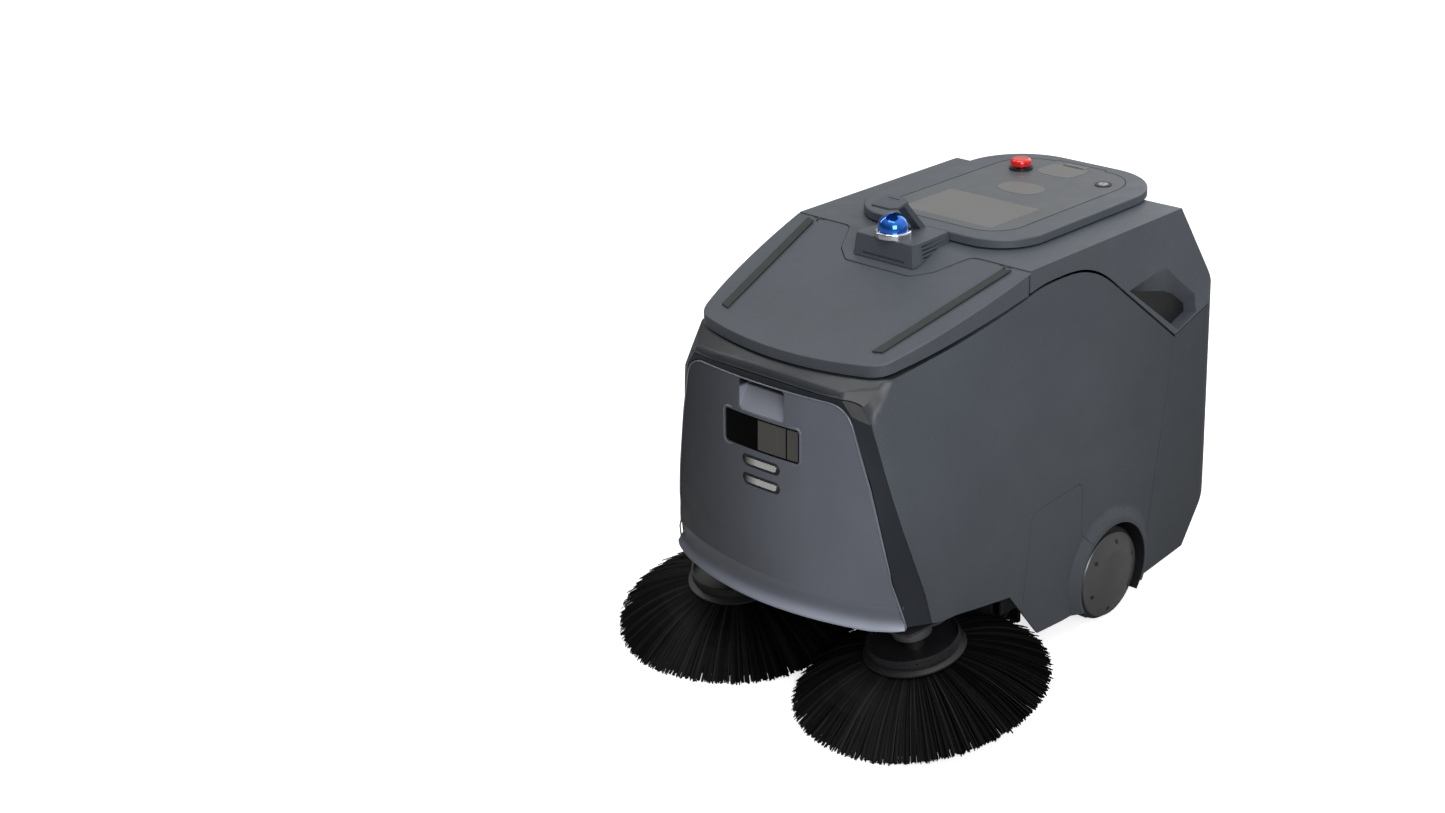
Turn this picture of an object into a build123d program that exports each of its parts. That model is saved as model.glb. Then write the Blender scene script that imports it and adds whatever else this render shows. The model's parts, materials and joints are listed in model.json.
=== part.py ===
"""Robotic floor sweeper: front dust drawer, two side brushes, main roller and two drive wheels.

Millimetres, +Z up. The origin is on the floor, midway between the drive wheels.
The front of the machine faces -Y and its left side is +X.
"""

from build123d import *
from math import radians, sin
import os

# ---------------------------------------------------------------- driving dimensions
WALL = 4.0                     # moulded shell thickness
GAP = 1.2                      # panel gap between neighbouring covers
REAR_Y = 322.0                 # rear wall
REAR_CORNER = 38.0             # plan radius of the rear corners
SEAM_Y = -240.0                # seam between the front deck and the rear top shell
DECK_SLOPE = 0.3127            # rise of the front deck per millimetre towards the rear
DECK_Y, DECK_Z = -513.2, 636.7  # a point that the front deck passes through
TOP_Z = 719.0                  # top surface at the seam
SHOULDER_Y, SHOULDER_Z = 192.0, 728.0  # where the top turns down towards the rear

WHEEL_R = 88.0                 # drive wheel
WHEEL_IN, WHEEL_OUT = 216.0, 270.0
CAP_R = 80.5
ARCH_R = 97.0
ARCH_Z = 92.0

BRUSH_X, BRUSH_Y, BRUSH_Z = 213.8, -455.1, 20.9
BRUSH_LEAN_X, BRUSH_LEAN_Y = 3.26, 9.94   # degrees towards the middle and the front
BRISTLE_Z, BRISTLE_R = 24.0, 197.0         # outer rim, up the brush axis and out from it
COLLAR_Z, COLLAR_R = 88.0, 80.0

ROLLER_Y, ROLLER_Z, ROLLER_R = -125.0, 70.0, 67.0
ROLLER_HALF = 165.0

LID_HALF = 188.0
LID_FRONT, LID_REAR = -205.0, 270.0
LID_Z, LID_RISE = 742.0, 0.019  # lid top height at y = 0 side of the tilt and its rise
LID_T = 15.0

POD_Y = -284.0
PLATE_Z, FRONT_PLATE_Z, PLATE_T = 110.0, 172.0, 4.0   # undersides of the sheet metal floor

CASTER_FRONT_Y, CASTER_REAR_Y = -262.0, 222.0
CASTER_R, CASTER_TRAIL = 30.0, 18.0

ROLLER_SHAFT_R = 8.0
PULLEY_X, PULLEY_W = 183.0, 10.0
PULLEY_R, MOTOR_PULLEY_R = 20.0, 12.0
MOTOR_Z, MOTOR_R, MOTOR_SHAFT_R = 200.0, 28.0, 5.0
RUN_FIT = 0.05                 # radial clearance of a shaft in its bore

BUMPER_TOP = 230.0

SIDES = (1, -1)
os.makedirs("parts", exist_ok=True)


def save(part, name):
    """Label a finished piece and write its STEP file."""
    part.label = name
    export_step(part, f"parts/{name}.step")


def deck_height(y):
    """Height of the front deck surface at a given y."""
    return DECK_Z + DECK_SLOPE * (y - DECK_Y)


def lid_height(y):
    """Height of the lid's top surface at a given y."""
    return LID_Z + LID_RISE * y


# ---------------------------------------------------------------- body skin
# height, nose y, door corner, facet corner, flank point, half width, start of the straight side
SKIN_LEVELS = (
    (170.0, -611.0, (264.0, -544.0), (265.0, -491.0), (265.2, -438.0), 265.2, -380.0),
    (320.0, -614.0, (236.0, -573.0), (249.5, -531.0), (258.0, -455.0), 263.2, -365.0),
    (470.0, -611.6, (202.0, -587.0), (223.0, -566.0), (247.0, -462.0), 261.0, -322.0),
    (620.0, -603.0, (168.0, -593.5), (188.0, -581.0), (231.5, -456.0), 258.7, -268.0),
    (770.0, -589.0, (134.0, -582.0), (152.0, -574.0), (212.0, -446.0), 256.5, -215.0),
)


def inward(point, inset):
    """Move a right-hand outline point in from the skin."""
    return (point[0] - inset * 0.8, point[1] + inset * 0.7)


def skin_section(level, inset):
    """Plan outline of the body at one height, drawn inset from the outer skin."""
    height, nose, door, facet, flank, half, straight = level
    nose_point = (0, nose + inset)
    door_point, facet_point = inward(door, inset), inward(facet, inset)
    flank_point = (flank[0] - inset, flank[1])
    half = half - inset
    rear = REAR_Y - inset
    corner = REAR_CORNER - inset
    bulge = (door_point[0] / 2, nose_point[1] + (door_point[1] - nose_point[1]) / 4)
    with BuildSketch(Plane.XY.offset(height)) as section:
        with BuildLine():
            ThreePointArc(nose_point, bulge, door_point)
            Line(door_point, facet_point)
            Spline(facet_point, flank_point, (half, straight),
                   tangents=((0.5, 1), (0, 1)), tangent_scalars=(1, 1))
            Line((half, straight), (half, rear - corner))
            RadiusArc((half, rear - corner), (half - corner, rear), -corner)
            Line((half - corner, rear), (0, rear))
            mirror(about=Plane.YZ)
        make_face()
    return section.sketch


def skin(inset):
    """Body volume inside the skin, before its side outline is cut."""
    with BuildPart() as body:
        for level in SKIN_LEVELS:
            add(skin_section(level, inset))
        loft()
        add(skin_section(SKIN_LEVELS[0], inset))
        extrude(amount=-150)
    return body.part


def side_outline(points, half=400.0):
    """Prism with a side-view outline, across the whole width."""
    with BuildPart() as prism:
        with BuildSketch(Plane.YZ):
            with BuildLine():
                Polyline(*points, close=True)
            make_face()
        extrude(amount=half, both=True)
    return prism.part


outer_side = side_outline((
    (-700, 183), (-577, 184), (-549, 194), (-494, 181), (-288, 150), (-208, 50),
    (-120, 45), (112, 46), (235, 60), (300, 150), (REAR_Y, 537),
    (SHOULDER_Y, SHOULDER_Z), (SEAM_Y, TOP_Z), (DECK_Y, DECK_Z),
    (-700, deck_height(-700)),
))
inner_side = side_outline((
    (-700, 0), (296, 0), (296, 150), (REAR_Y - WALL, 535),
    (SHOULDER_Y - 3, SHOULDER_Z - WALL), (SEAM_Y, TOP_Z - WALL),
    (DECK_Y, DECK_Z - WALL), (-700, deck_height(-700) - WALL),
))
# Under the lid the tail of the body stands up straight instead of sloping with the shoulders.
TAIL_HALF = 120.0
with BuildPart() as tail_outer:
    with BuildSketch(Plane.YZ):
        with BuildLine():
            Polyline((100, 500), (100, 726), (228, 728.5), (246, 700), (REAR_Y - 2, 540),
                     (REAR_Y - 2, 500), close=True)
        make_face()
    extrude(amount=TAIL_HALF, both=True)
    with BuildSketch(Plane.XY.offset(400)):
        with Locations((0, 150)):
            RectangleRounded(2 * TAIL_HALF, 2 * (REAR_Y - 154), 60)
    extrude(amount=400, mode=Mode.INTERSECT)
with BuildPart() as tail_inner:
    with BuildSketch(Plane.YZ):
        with BuildLine():
            Polyline((90, 500), (90, 722), (225, 724.5), (242, 698), (REAR_Y - 6, 540),
                     (REAR_Y - 6, 500), close=True)
        make_face()
    extrude(amount=TAIL_HALF - WALL, both=True)
    with BuildSketch(Plane.XY.offset(400)):
        with Locations((0, 150)):
            RectangleRounded(2 * (TAIL_HALF - WALL), 2 * (REAR_Y - 158), 56)
    extrude(amount=400, mode=Mode.INTERSECT)

BEVELS = (((0, -606, 573), (0, -0.70, 0.71)), ((180, -593, 556), (0.64, -0.64, 0.42)),
          ((-180, -593, 556), (-0.64, -0.64, 0.42)))


def bevels(depth):
    """Wedges that slope the shoulders above the door, moved inwards by a depth."""
    with BuildPart() as wedges:
        for point, normal in BEVELS:
            with BuildSketch(Plane(origin=point, z_dir=normal).offset(-depth)):
                Rectangle(520, 520)
            extrude(amount=150)
    return wedges.part


hollow = (skin(WALL) & inner_side) - bevels(WALL)
with BuildPart() as shell:
    add(skin(0))
    add(outer_side, mode=Mode.INTERSECT)
    add(bevels(0), mode=Mode.SUBTRACT)
    add(tail_outer.part)
    add(hollow, mode=Mode.SUBTRACT)
    add(tail_inner.part, mode=Mode.SUBTRACT)


# ---------------------------------------------------------------- cover boundaries
def arch_edge(lift):
    """Side-view line over the wheel where the side cover meets the top cover."""
    Line((185, 490 + lift), (20, 617 + lift))
    Spline((20, 617 + lift), (-34, 657 + lift), (-95, 681 + lift), (-167, 685 + lift),
           (-240, 676 + lift), tangents=((-1, 0.77), (-1, -0.249)))
    Line((-240, 676 + lift), (-700, 561.5 + lift))


with BuildPart() as side_region:
    with BuildSketch(Plane.YZ):
        with BuildLine():
            arch_edge(0)
            Polyline((-700, 561.5), (-700, 0), (109, 0), (109, 105), (185, 490))
        make_face()
    extrude(amount=400, both=True)

with BuildPart() as top_region:
    with BuildSketch(Plane.YZ):
        with BuildLine():
            arch_edge(5)
            Polyline((185, 495), (330, 540), (330, 900), (-700, 900), (-700, 566.5))
        make_face()
    extrude(amount=400, both=True)

rear_region = side_outline(((109 + GAP, 0), (109 + GAP, 105), (185 + GAP, 493),
                            (340, 541), (340, 0)))


def front_outline(half, slope, bottom, top, corner, depth=(440.0, 720.0)):
    """Front-view trapezoid with rounded top corners, as a prism through the nose.

    half is the half width at 170 mm above the floor, and slope its loss per millimetre of height.
    """
    bottom_half = half - slope * (bottom - 170)
    top_half = half - slope * (top - 170)
    with BuildPart() as prism:
        with BuildSketch(Plane.XZ.offset(depth[0])) as front:
            with BuildLine():
                Polyline((-bottom_half, bottom), (bottom_half, bottom), (top_half, top),
                         (-top_half, top), close=True)
            make_face()
            fillet(front.vertices().group_by(Axis.Y)[-1], corner)
        extrude(amount=depth[1] - depth[0])
    return prism.part


def front_region(half, slope, top, corner, edge, grow):
    """Front cover region: a front-view trapezoid that ends at a side-view edge line."""
    line = [(y + grow, z) for y, z in edge]
    side = side_outline(((-720, 90), (line[0][0] + 12, 90), *line, (-720, 640)))
    return front_outline(half + grow, slope, 100, top + grow, corner + grow) & side


DOOR_SHAPE = (283.0, 0.266, 568.0, 44.0)
DOOR_EDGE = ((-544, 170), (-560, 236), (-568, 276), (-575, 361), (-580, 421), (-586, 499),
             (-588, 620))
RIM_SHAPE = (292.0, 0.225, 577.0, 52.0)
RIM_EDGE = ((-491, 170), (-505, 234), (-526, 303), (-541, 356), (-555, 414), (-564, 462),
            (-574, 533), (-577, 620))
door_prism = front_region(*DOOR_SHAPE, DOOR_EDGE, 0)
door_hole = front_region(*DOOR_SHAPE, DOOR_EDGE, 1.6)
surround_prism = front_region(*RIM_SHAPE, RIM_EDGE, 0)
surround_hole = front_region(*RIM_SHAPE, RIM_EDGE, GAP)

# Deck island: the part of the top cover that carries the sensor pod.
with BuildPart() as island:
    with BuildSketch(Plane.XY.offset(560)) as plan:
        with BuildLine():
            Polyline((-150, SEAM_Y + 20), (-150, SEAM_Y), (-135, SEAM_Y - 2), (-103, -300),
                     (-70, -326), (70, -326), (103, -300), (135, SEAM_Y - 2),
                     (150, SEAM_Y), (150, SEAM_Y + 20), close=True)
        make_face()
        fillet(plan.vertices().filter_by(lambda v: v.Y < SEAM_Y - 1), radius=18)
    extrude(amount=300)
with BuildPart() as island_clear:
    with BuildSketch(Plane.XY.offset(560)):
        add(plan.sketch_local)
        offset(amount=GAP)
    extrude(amount=300)

# ---------------------------------------------------------------- side and rear covers
with BuildPart() as wheel_flare:
    with BuildSketch(Plane.YZ.offset(250)):
        with Locations((0, ARCH_Z + 4)):
            Circle(146)
    with BuildSketch(Plane.YZ.offset(277)):
        with Locations((0, ARCH_Z + 2)):
            Circle(103)
    loft()
with BuildPart() as wheel_flare_inner:
    with BuildSketch(Plane.YZ.offset(236)):
        with Locations((0, ARCH_Z + 4)):
            Circle(156)
    with BuildSketch(Plane.YZ.offset(271)):
        with Locations((0, ARCH_Z + 2)):
            Circle(100)
    loft()
with BuildPart() as wheel_arch:
    with BuildSketch(Plane.YZ.offset(200)):
        with Locations((0, ARCH_Z)):
            Circle(ARCH_R)
    extrude(amount=100)
skirt_side = side_outline(((-700, 46), (-700, 700), (700, 700), (700, 46)))

# The service cover is cut out of the side panel, in front of the wheel.
with BuildPart() as service_prism:
    with BuildSketch(Plane.YZ.offset(225)) as service_plan:
        with BuildLine():
            Polyline((-266, 20), (-229, 276), (-209, 286), (-86, 297), (-85, 196), (-58, 162),
                     (-30, 130), (-30, 20), close=True)
        make_face()
        fillet(service_plan.vertices().filter_by(lambda v: v.Y > 290), radius=14)
    extrude(amount=80)
with BuildPart() as service_cut:
    with BuildSketch(Plane.YZ.offset(225)):
        add(service_plan.sketch_local)
        offset(amount=0.8)
    extrude(amount=80)


def both_sides(part):
    """The part and its mirror image about the centre plane."""
    return part + mirror(part, about=Plane.YZ)


flares = both_sides(wheel_flare.part)
flares_inner = both_sides(wheel_flare_inner.part)
arches = both_sides(wheel_arch.part)
services = both_sides(service_prism.part)
service_cuts = both_sides(service_cut.part)

with BuildPart() as lower_cover:
    add(shell)
    add(flares)
    add(flares_inner & (skin(WALL) + flares), mode=Mode.SUBTRACT)
    add(arches, mode=Mode.SUBTRACT)
    add(skirt_side, mode=Mode.INTERSECT)

# A flange turns inwards along the top edge, under the deck.
FLANGE_W = 42.0
with BuildPart() as top_flange:
    add(skin(0))
    add(side_outline(((SEAM_Y, 676), (-700, 561.5), (-700, 557.5), (SEAM_Y, 672))),
        mode=Mode.INTERSECT)
    add(bevels(0), mode=Mode.SUBTRACT)
    with BuildSketch(Plane.XY.offset(500)):
        with Locations((0, -370)):
            RectangleRounded(2 * (206 - FLANGE_W), 2 * (192 - FLANGE_W), 30)
    extrude(amount=300, mode=Mode.SUBTRACT)

with BuildPart() as body_shell:
    add(lower_cover.part)
    add(side_region.part, mode=Mode.INTERSECT)
    add(top_flange.part)
    add(surround_hole, mode=Mode.SUBTRACT)
    add(service_cuts, mode=Mode.SUBTRACT)
save(body_shell.part, "body_shell")

with BuildPart() as service_covers:
    add(lower_cover.part)
    add(services, mode=Mode.INTERSECT)
save(service_covers.part, "service_covers")

with BuildPart() as front_surround:
    add(lower_cover.part)
    add(surround_prism, mode=Mode.INTERSECT)
    add(door_hole, mode=Mode.SUBTRACT)
save(front_surround.part, "front_surround")

with BuildPart() as rear_shell:
    add(lower_cover.part)
    add(rear_region, mode=Mode.INTERSECT)
    with BuildSketch(Plane.XZ.offset(-REAR_Y - 10)):
        with Locations((0, 400)):
            with GridLocations(0, 16, 1, 7):
                SlotOverall(190, 6)
    extrude(amount=40, mode=Mode.SUBTRACT)
save(rear_shell.part, "rear_shell")

# ---------------------------------------------------------------- top cover and hand pockets
POCKET_X = 236.0               # depth plane of the hand pocket floor
PAD_T = 3.0


POCKET_OUT = 282.0
pocket_rim = ((22.5, 625), (125, 681), (128, 684), (165, 639), (243, 580), (254, 523),
              (195, 501))
pocket_floor = ((56, 604), (150, 581), (176, 574.5), (205, 562), (243, 534), (246, 519),
                (195, 501))
with BuildPart() as pocket_recess:
    with BuildSketch(Plane.YZ.offset(POCKET_OUT)):
        with BuildLine():
            Polyline(*pocket_rim, close=True)
        make_face()
    with BuildSketch(Plane.YZ.offset(POCKET_X)):
        with BuildLine():
            Polyline(*pocket_floor, close=True)
        make_face()
    loft(ruled=True)
with BuildPart() as pocket_pad:
    with BuildSketch(Plane.YZ.offset(POCKET_X - PAD_T)):
        with BuildLine():
            Polyline(*pocket_floor, close=True)
        make_face()
    extrude(amount=PAD_T)
with BuildPart() as pocket_block:
    with BuildSketch(Plane.YZ.offset(214)):
        with BuildLine():
            Polyline((24, 626), (118, 656), (165, 654), (264, 574), (264, 515), (185, 493),
                     (20, 620), close=True)
        make_face()
    extrude(amount=60)
    add(skin(1.5), mode=Mode.INTERSECT)

pocket_cut = both_sides(pocket_recess.part + pocket_pad.part)
with BuildPart() as hand_pockets:
    add(both_sides(pocket_pad.part))
save(hand_pockets.part, "hand_pockets")

# Lugs for the deck's hinge pins, and brackets for the lid's, are moulded on the top shell.
HINGE_Y, HINGE_Z = SEAM_Y - 2.0, TOP_Z - 2.5
PIN_R = 1.2
LUG_X = 208.0
with BuildPart() as deck_lugs:
    for side in SIDES:
        with BuildSketch(Plane.YZ.offset(side * LUG_X)):
            with BuildLine():
                Polyline((HINGE_Y - 2, HINGE_Z), (HINGE_Y - 2, 706), (-226, 706), (-226, 717),
                         (HINGE_Y + 2, 717), (HINGE_Y + 2, HINGE_Z), close=True)
            make_face()
            with Locations((HINGE_Y, HINGE_Z)):
                Circle(2.0)
                Circle(PIN_R + RUN_FIT, mode=Mode.SUBTRACT)
        extrude(amount=2.0, both=True)

LID_HINGE_Y, LID_HINGE_Z, LID_PIN_R = 262.0, 720.0, 3.0
KNUCKLE_X, BRACKET_X = 74.0, 64.0
with BuildPart() as lid_brackets:
    for side in SIDES:
        with BuildSketch(Plane.YZ.offset(side * BRACKET_X)):
            with BuildLine():
                Polyline((236, 712), (LID_HINGE_Y, 727), (LID_HINGE_Y + 7, LID_HINGE_Z),
                         (LID_HINGE_Y + 5, 705), (252, 682), (248, 682), close=True)
            make_face()
            with Locations((LID_HINGE_Y, LID_HINGE_Z)):
                Circle(LID_PIN_R + RUN_FIT, mode=Mode.SUBTRACT)
        extrude(amount=4, both=True)

with BuildPart() as rear_half:
    with Locations((0, SEAM_Y, 600)):
        Box(700, 700, 700, align=(Align.CENTER, Align.MIN, Align.CENTER))
    add(island.part)

with BuildPart() as top_shell:
    add(shell.part)
    add(both_sides(pocket_block.part))
    add(top_region.part, mode=Mode.INTERSECT)
    add(rear_half.part, mode=Mode.INTERSECT)
    with BuildSketch(Plane.XY.offset(700)):
        with Locations((0, 0)):
            RectangleRounded(250, 360, 40)
    extrude(amount=60, mode=Mode.SUBTRACT)
    add(pocket_cut, mode=Mode.SUBTRACT)
    add(deck_lugs.part)
    add(lid_brackets.part)
save(top_shell.part, "top_shell")

# ---------------------------------------------------------------- front deck cover
DECK_T = 3.5


def deck_plan(inset, rear):
    """Plan outline of the deck cover."""
    nose, side = (0, -571 + inset), 259.5 - inset
    corner_a, corner_b = (172, -550 + inset), (213 - inset, -508)
    with BuildSketch(Plane.XY.offset(560)) as outline:
        with BuildLine():
            ThreePointArc(nose, (88, -565.6 + inset), corner_a)
            Spline(corner_a, corner_b, tangents=((1, 0.22), (0.28, 1)), tangent_scalars=(1.3, 1.3))
            Spline(corner_b, (242 - inset, -388), (side, rear), tangents=((0.34, 1), (0.06, 1)))
            Line((side, rear), (0, rear))
            mirror(about=Plane.YZ)
        make_face()
    return outline.sketch


def deck_solid(inset, drop, rear):
    """Deck volume between its sloping top and the lip's lower edge."""
    with BuildPart() as solid:
        add(deck_plan(inset, rear))
        extrude(amount=200)
        with BuildSketch(Plane.YZ):
            with BuildLine():
                Polyline((-700, 567.5 - drop), (-700, deck_height(-700) - drop),
                         (SEAM_Y + 5, TOP_Z - drop), (SEAM_Y + 5, 682.1 - 3 * drop), close=True)
            make_face()
        extrude(amount=400, both=True, mode=Mode.INTERSECT)
    return solid.part


with BuildPart() as front_deck_cover:
    add(deck_solid(0, 0, SEAM_Y - 1.0))
    fillet(front_deck_cover.edges().filter_by(lambda e: e.center().Z > 612)
           .filter_by(lambda e: abs(e.center().Z - deck_height(e.center().Y)) < 1.5), radius=2.0)
    add(deck_solid(DECK_T, DECK_T, SEAM_Y - 6.5), mode=Mode.SUBTRACT)
    with BuildSketch(Plane.XY.offset(560)):
        with Locations((0, SEAM_Y - 6)):
            Rectangle(600, 12, align=(Align.CENTER, Align.MIN))
    extrude(amount=HINGE_Z - 4 - 560, mode=Mode.SUBTRACT)
    add(island_clear.part, mode=Mode.SUBTRACT)
    with Locations(*[(side * LUG_X, HINGE_Y - 3, HINGE_Z) for side in SIDES]):
        Box(5.0, 12, 12, mode=Mode.SUBTRACT)
    with Locations(*[(side * LUG_X, HINGE_Y, HINGE_Z) for side in SIDES]):
        Cylinder(PIN_R, 26, rotation=(0, 90, 0), mode=Mode.SUBTRACT)
save(front_deck_cover.part, "front_deck_cover")

with BuildPart() as deck_hinge_pins:
    with Locations(*[(side * LUG_X, HINGE_Y, HINGE_Z) for side in SIDES]):
        Cylinder(PIN_R, 26, rotation=(0, 90, 0))
save(deck_hinge_pins.part, "deck_hinge_pins")

# Two rubber grip strips lie on the deck, along its sides.
STRIP_H = 2.5
with BuildPart() as deck_strips:
    with BuildSketch(Plane.XY.offset(560)):
        with BuildLine():
            Polyline((178.5, -513.2), (160.7, -518), (209.7, -255), (227.2, -251), close=True)
        make_face()
        mirror(about=Plane.YZ)
    extrude(amount=300)
    with BuildSketch(Plane.YZ):
        with BuildLine():
            Polyline((-700, deck_height(-700)), (SEAM_Y, TOP_Z + 0.3), (SEAM_Y, TOP_Z + STRIP_H),
                     (-700, deck_height(-700) + STRIP_H), close=True)
        make_face()
    extrude(amount=400, both=True, mode=Mode.INTERSECT)
save(deck_strips.part, "deck_strips")

# ---------------------------------------------------------------- chassis
inner_skin = skin(WALL + 0.3)
SCREW_R, SCREW_SOCKET_R = 5.5, 2.0
SCREWS = ((-165, 225), (165, 225), (-60, 130), (60, 130), (-60, -300), (60, -300))
MAST_HALF, MAST_TOP = 144.0, 396.0
with BuildPart() as chassis_frame:
    with BuildSketch(Plane.YZ):
        with BuildLine():
            Polyline((-552, FRONT_PLATE_Z), (-314, FRONT_PLATE_Z), (-314, PLATE_Z),
                     (268, PLATE_Z), (268, PLATE_Z + PLATE_T), (-314 + PLATE_T, PLATE_Z + PLATE_T),
                     (-314 + PLATE_T, FRONT_PLATE_Z + PLATE_T), (-552, FRONT_PLATE_Z + PLATE_T),
                     close=True)
        make_face()
    extrude(amount=300, both=True)
    add(inner_skin, mode=Mode.INTERSECT)
    with BuildSketch(Plane.XY.offset(100)):
        with Locations(*[(side * 266, -5) for side in SIDES]):
            Rectangle(160, 310)
        with Locations((0, ROLLER_Y)):
            Rectangle(2 * (ROLLER_HALF + 13), 162)
        with Locations(*[(side * 276, -250) for side in SIDES]):
            Rectangle(220, 150)
        with Locations((PULLEY_X, ROLLER_Y)):
            Rectangle(15, 54)
        with Locations((0, CASTER_FRONT_Y), (0, CASTER_REAR_Y)):
            Circle(9)
        with Locations(*SCREWS):
            Circle(SCREW_R)
    extrude(amount=50, mode=Mode.SUBTRACT)
    # mast for the fan
    with BuildSketch(Plane.XZ.offset(30)):
        with BuildLine():
            foot, roof = PLATE_Z + PLATE_T, MAST_TOP - PLATE_T
            inner = MAST_HALF - PLATE_T
            Polyline((-MAST_HALF, foot), (-MAST_HALF, MAST_TOP), (MAST_HALF, MAST_TOP),
                     (MAST_HALF, foot), (inner, foot), (inner, roof), (-inner, roof),
                     (-inner, foot), close=True)
        make_face()
    extrude(amount=-30)
    with Locations((0, -120, MAST_TOP - PLATE_T / 2)):
        Box(2 * MAST_HALF, 180, PLATE_T)
    # caster plates
    with Locations(*[(0, y, PLATE_Z - 3) for y in (CASTER_FRONT_Y, CASTER_REAR_Y)]):
        Box(56, 56, 6)
        Cylinder(6.05, 6, mode=Mode.SUBTRACT)
save(chassis_frame.part, "chassis_frame")

with BuildPart() as frame_screws:
    with Locations(*[(x, y, PLATE_Z) for x, y in SCREWS]):
        Cylinder(SCREW_R, PLATE_T, align=(Align.CENTER, Align.CENTER, Align.MIN))
        Cylinder(SCREW_SOCKET_R, 2.6, align=(Align.CENTER, Align.CENTER, Align.MIN),
                 mode=Mode.SUBTRACT)
save(frame_screws.part, "frame_screws")

# ---------------------------------------------------------------- drive wheels
HUB_R = 60.0
AXLE_R = 8.0


def wheel_parts(side):
    """Tyre, hub and hub cap of one drive wheel."""
    plane = Plane(origin=(0, 0, WHEEL_R), x_dir=(0, 1, 0), z_dir=(side, 0, 0))
    profile = Plane(origin=(0, 0, WHEEL_R), x_dir=(side, 0, 0), z_dir=(0, -side, 0))
    spin = Axis((0, 0, WHEEL_R), (1, 0, 0))
    with BuildPart() as tyre:
        with BuildSketch(profile):
            with BuildLine():
                Polyline((218, HUB_R), (218, 82), (223, 87), (230, WHEEL_R), (250, WHEEL_R),
                         (257, 87), (262, 82), (262, HUB_R), close=True)
            make_face()
            with Locations((233, WHEEL_R), (240, WHEEL_R), (247, WHEEL_R)):
                Rectangle(2.2, 5, mode=Mode.SUBTRACT)
        revolve(axis=spin)
    with BuildPart() as hub:
        with BuildSketch(profile):
            with BuildLine():
                Polyline((WHEEL_IN, AXLE_R + RUN_FIT), (WHEEL_IN, 20), (221, 24), (221, HUB_R),
                         (262, HUB_R), (262, 52), (226, 52), (226, 20), (242, 20), (242, 0),
                         (239, 0), (239, AXLE_R + RUN_FIT), close=True)
            make_face()
        revolve(axis=spin)
    with BuildPart() as cap:
        with BuildSketch(profile):
            with BuildLine():
                Polyline((262.2, CAP_R - 1), (264, CAP_R), (265.5, CAP_R - 0.5),
                         (WHEEL_OUT, 54), (WHEEL_OUT, 0), (266, 0), (266, 52),
                         (262.2, 72), close=True)
            make_face()
        revolve(axis=spin)
        with BuildSketch(plane.offset(WHEEL_OUT)):
            with PolarLocations(70.5, 8, start_angle=8):
                Circle(3.2)
        extrude(amount=-5.6, mode=Mode.SUBTRACT)
    return tyre.part, hub.part, cap.part


for side, word in ((1, "left"), (-1, "right")):
    tyre_part, hub_part, cap_part = wheel_parts(side)
    save(tyre_part, f"{word}_tyre")
    save(hub_part, f"{word}_wheel_hub")
    save(cap_part, f"{word}_hub_cap")

with BuildPart() as wheel_bracket:
    with Locations((193, 0, 105)):
        Box(6, 64, 90)
    with Locations((171, 0, 116)):
        Box(50, 64, 4)
    with Locations((216, 0, WHEEL_R)):
        Cylinder(AXLE_R, 42, rotation=(0, 90, 0))
save(both_sides(wheel_bracket.part), "wheel_brackets")

# ---------------------------------------------------------------- side brushes
lean = (-sin(radians(BRUSH_LEAN_X)), -sin(radians(BRUSH_LEAN_Y)))
brush_axis = (lean[0], lean[1], (1 - lean[0] ** 2 - lean[1] ** 2) ** 0.5)
SHAFT_R = 6.0


def brush_plane(height):
    """Plane across the left brush's axis, at a height above the rim's centre."""
    origin = Vector(BRUSH_X, BRUSH_Y, BRUSH_Z) + Vector(*brush_axis) * height
    return Plane(origin=origin, z_dir=brush_axis)


brush_base = brush_plane(0)
brush_half = Plane(origin=brush_base.origin, x_dir=brush_base.x_dir,
                   z_dir=brush_base.y_dir * -1)
brush_line = Axis(brush_base.origin, brush_base.z_dir)

with BuildPart() as bristles:
    with BuildSketch(brush_half):
        with BuildLine():
            Polyline((64, COLLAR_Z - 12), (64, COLLAR_Z), (86, COLLAR_Z),
                     (BRISTLE_R, BRISTLE_Z), (BRISTLE_R - 7, BRISTLE_Z - 8),
                     (84, COLLAR_Z - 12), close=True)
        make_face()
    revolve(axis=brush_line)

with BuildPart() as collar:
    with BuildSketch(brush_half):
        with BuildLine():
            Polyline((0, COLLAR_Z), (88, COLLAR_Z), (88, COLLAR_Z + 3), (76, COLLAR_Z + 8),
                     (COLLAR_R, COLLAR_Z + 12), (COLLAR_R, COLLAR_Z + 26),
                     (COLLAR_R - 3, COLLAR_Z + 26), (COLLAR_R - 3, COLLAR_Z + 12),
                     (18, COLLAR_Z + 8), (18, COLLAR_Z + 30), (SHAFT_R, COLLAR_Z + 30),
                     (SHAFT_R, COLLAR_Z + 46), (0, COLLAR_Z + 46), close=True)
        make_face()
    revolve(axis=brush_line)
    for step in range(24):
        spoke = Plane(origin=brush_plane(COLLAR_Z + 19).origin, x_dir=brush_base.z_dir,
                      z_dir=brush_base.x_dir.rotate(brush_line, step * 15))
        with BuildSketch(spoke.offset(COLLAR_R - 5)):
            Circle(1.6)
        extrude(amount=8, mode=Mode.SUBTRACT)

with BuildPart() as brush_motor:
    with BuildSketch(brush_plane(COLLAR_Z + 33)):
        Circle(34)
    extrude(amount=60)
    with BuildSketch(brush_plane(COLLAR_Z + 33)):
        Circle(SHAFT_R + RUN_FIT)
    extrude(amount=14, mode=Mode.SUBTRACT)
    with BuildSketch(Plane.XY.offset(172)):
        Rectangle(1200, 1400)
    extrude(amount=100, mode=Mode.SUBTRACT)

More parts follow.
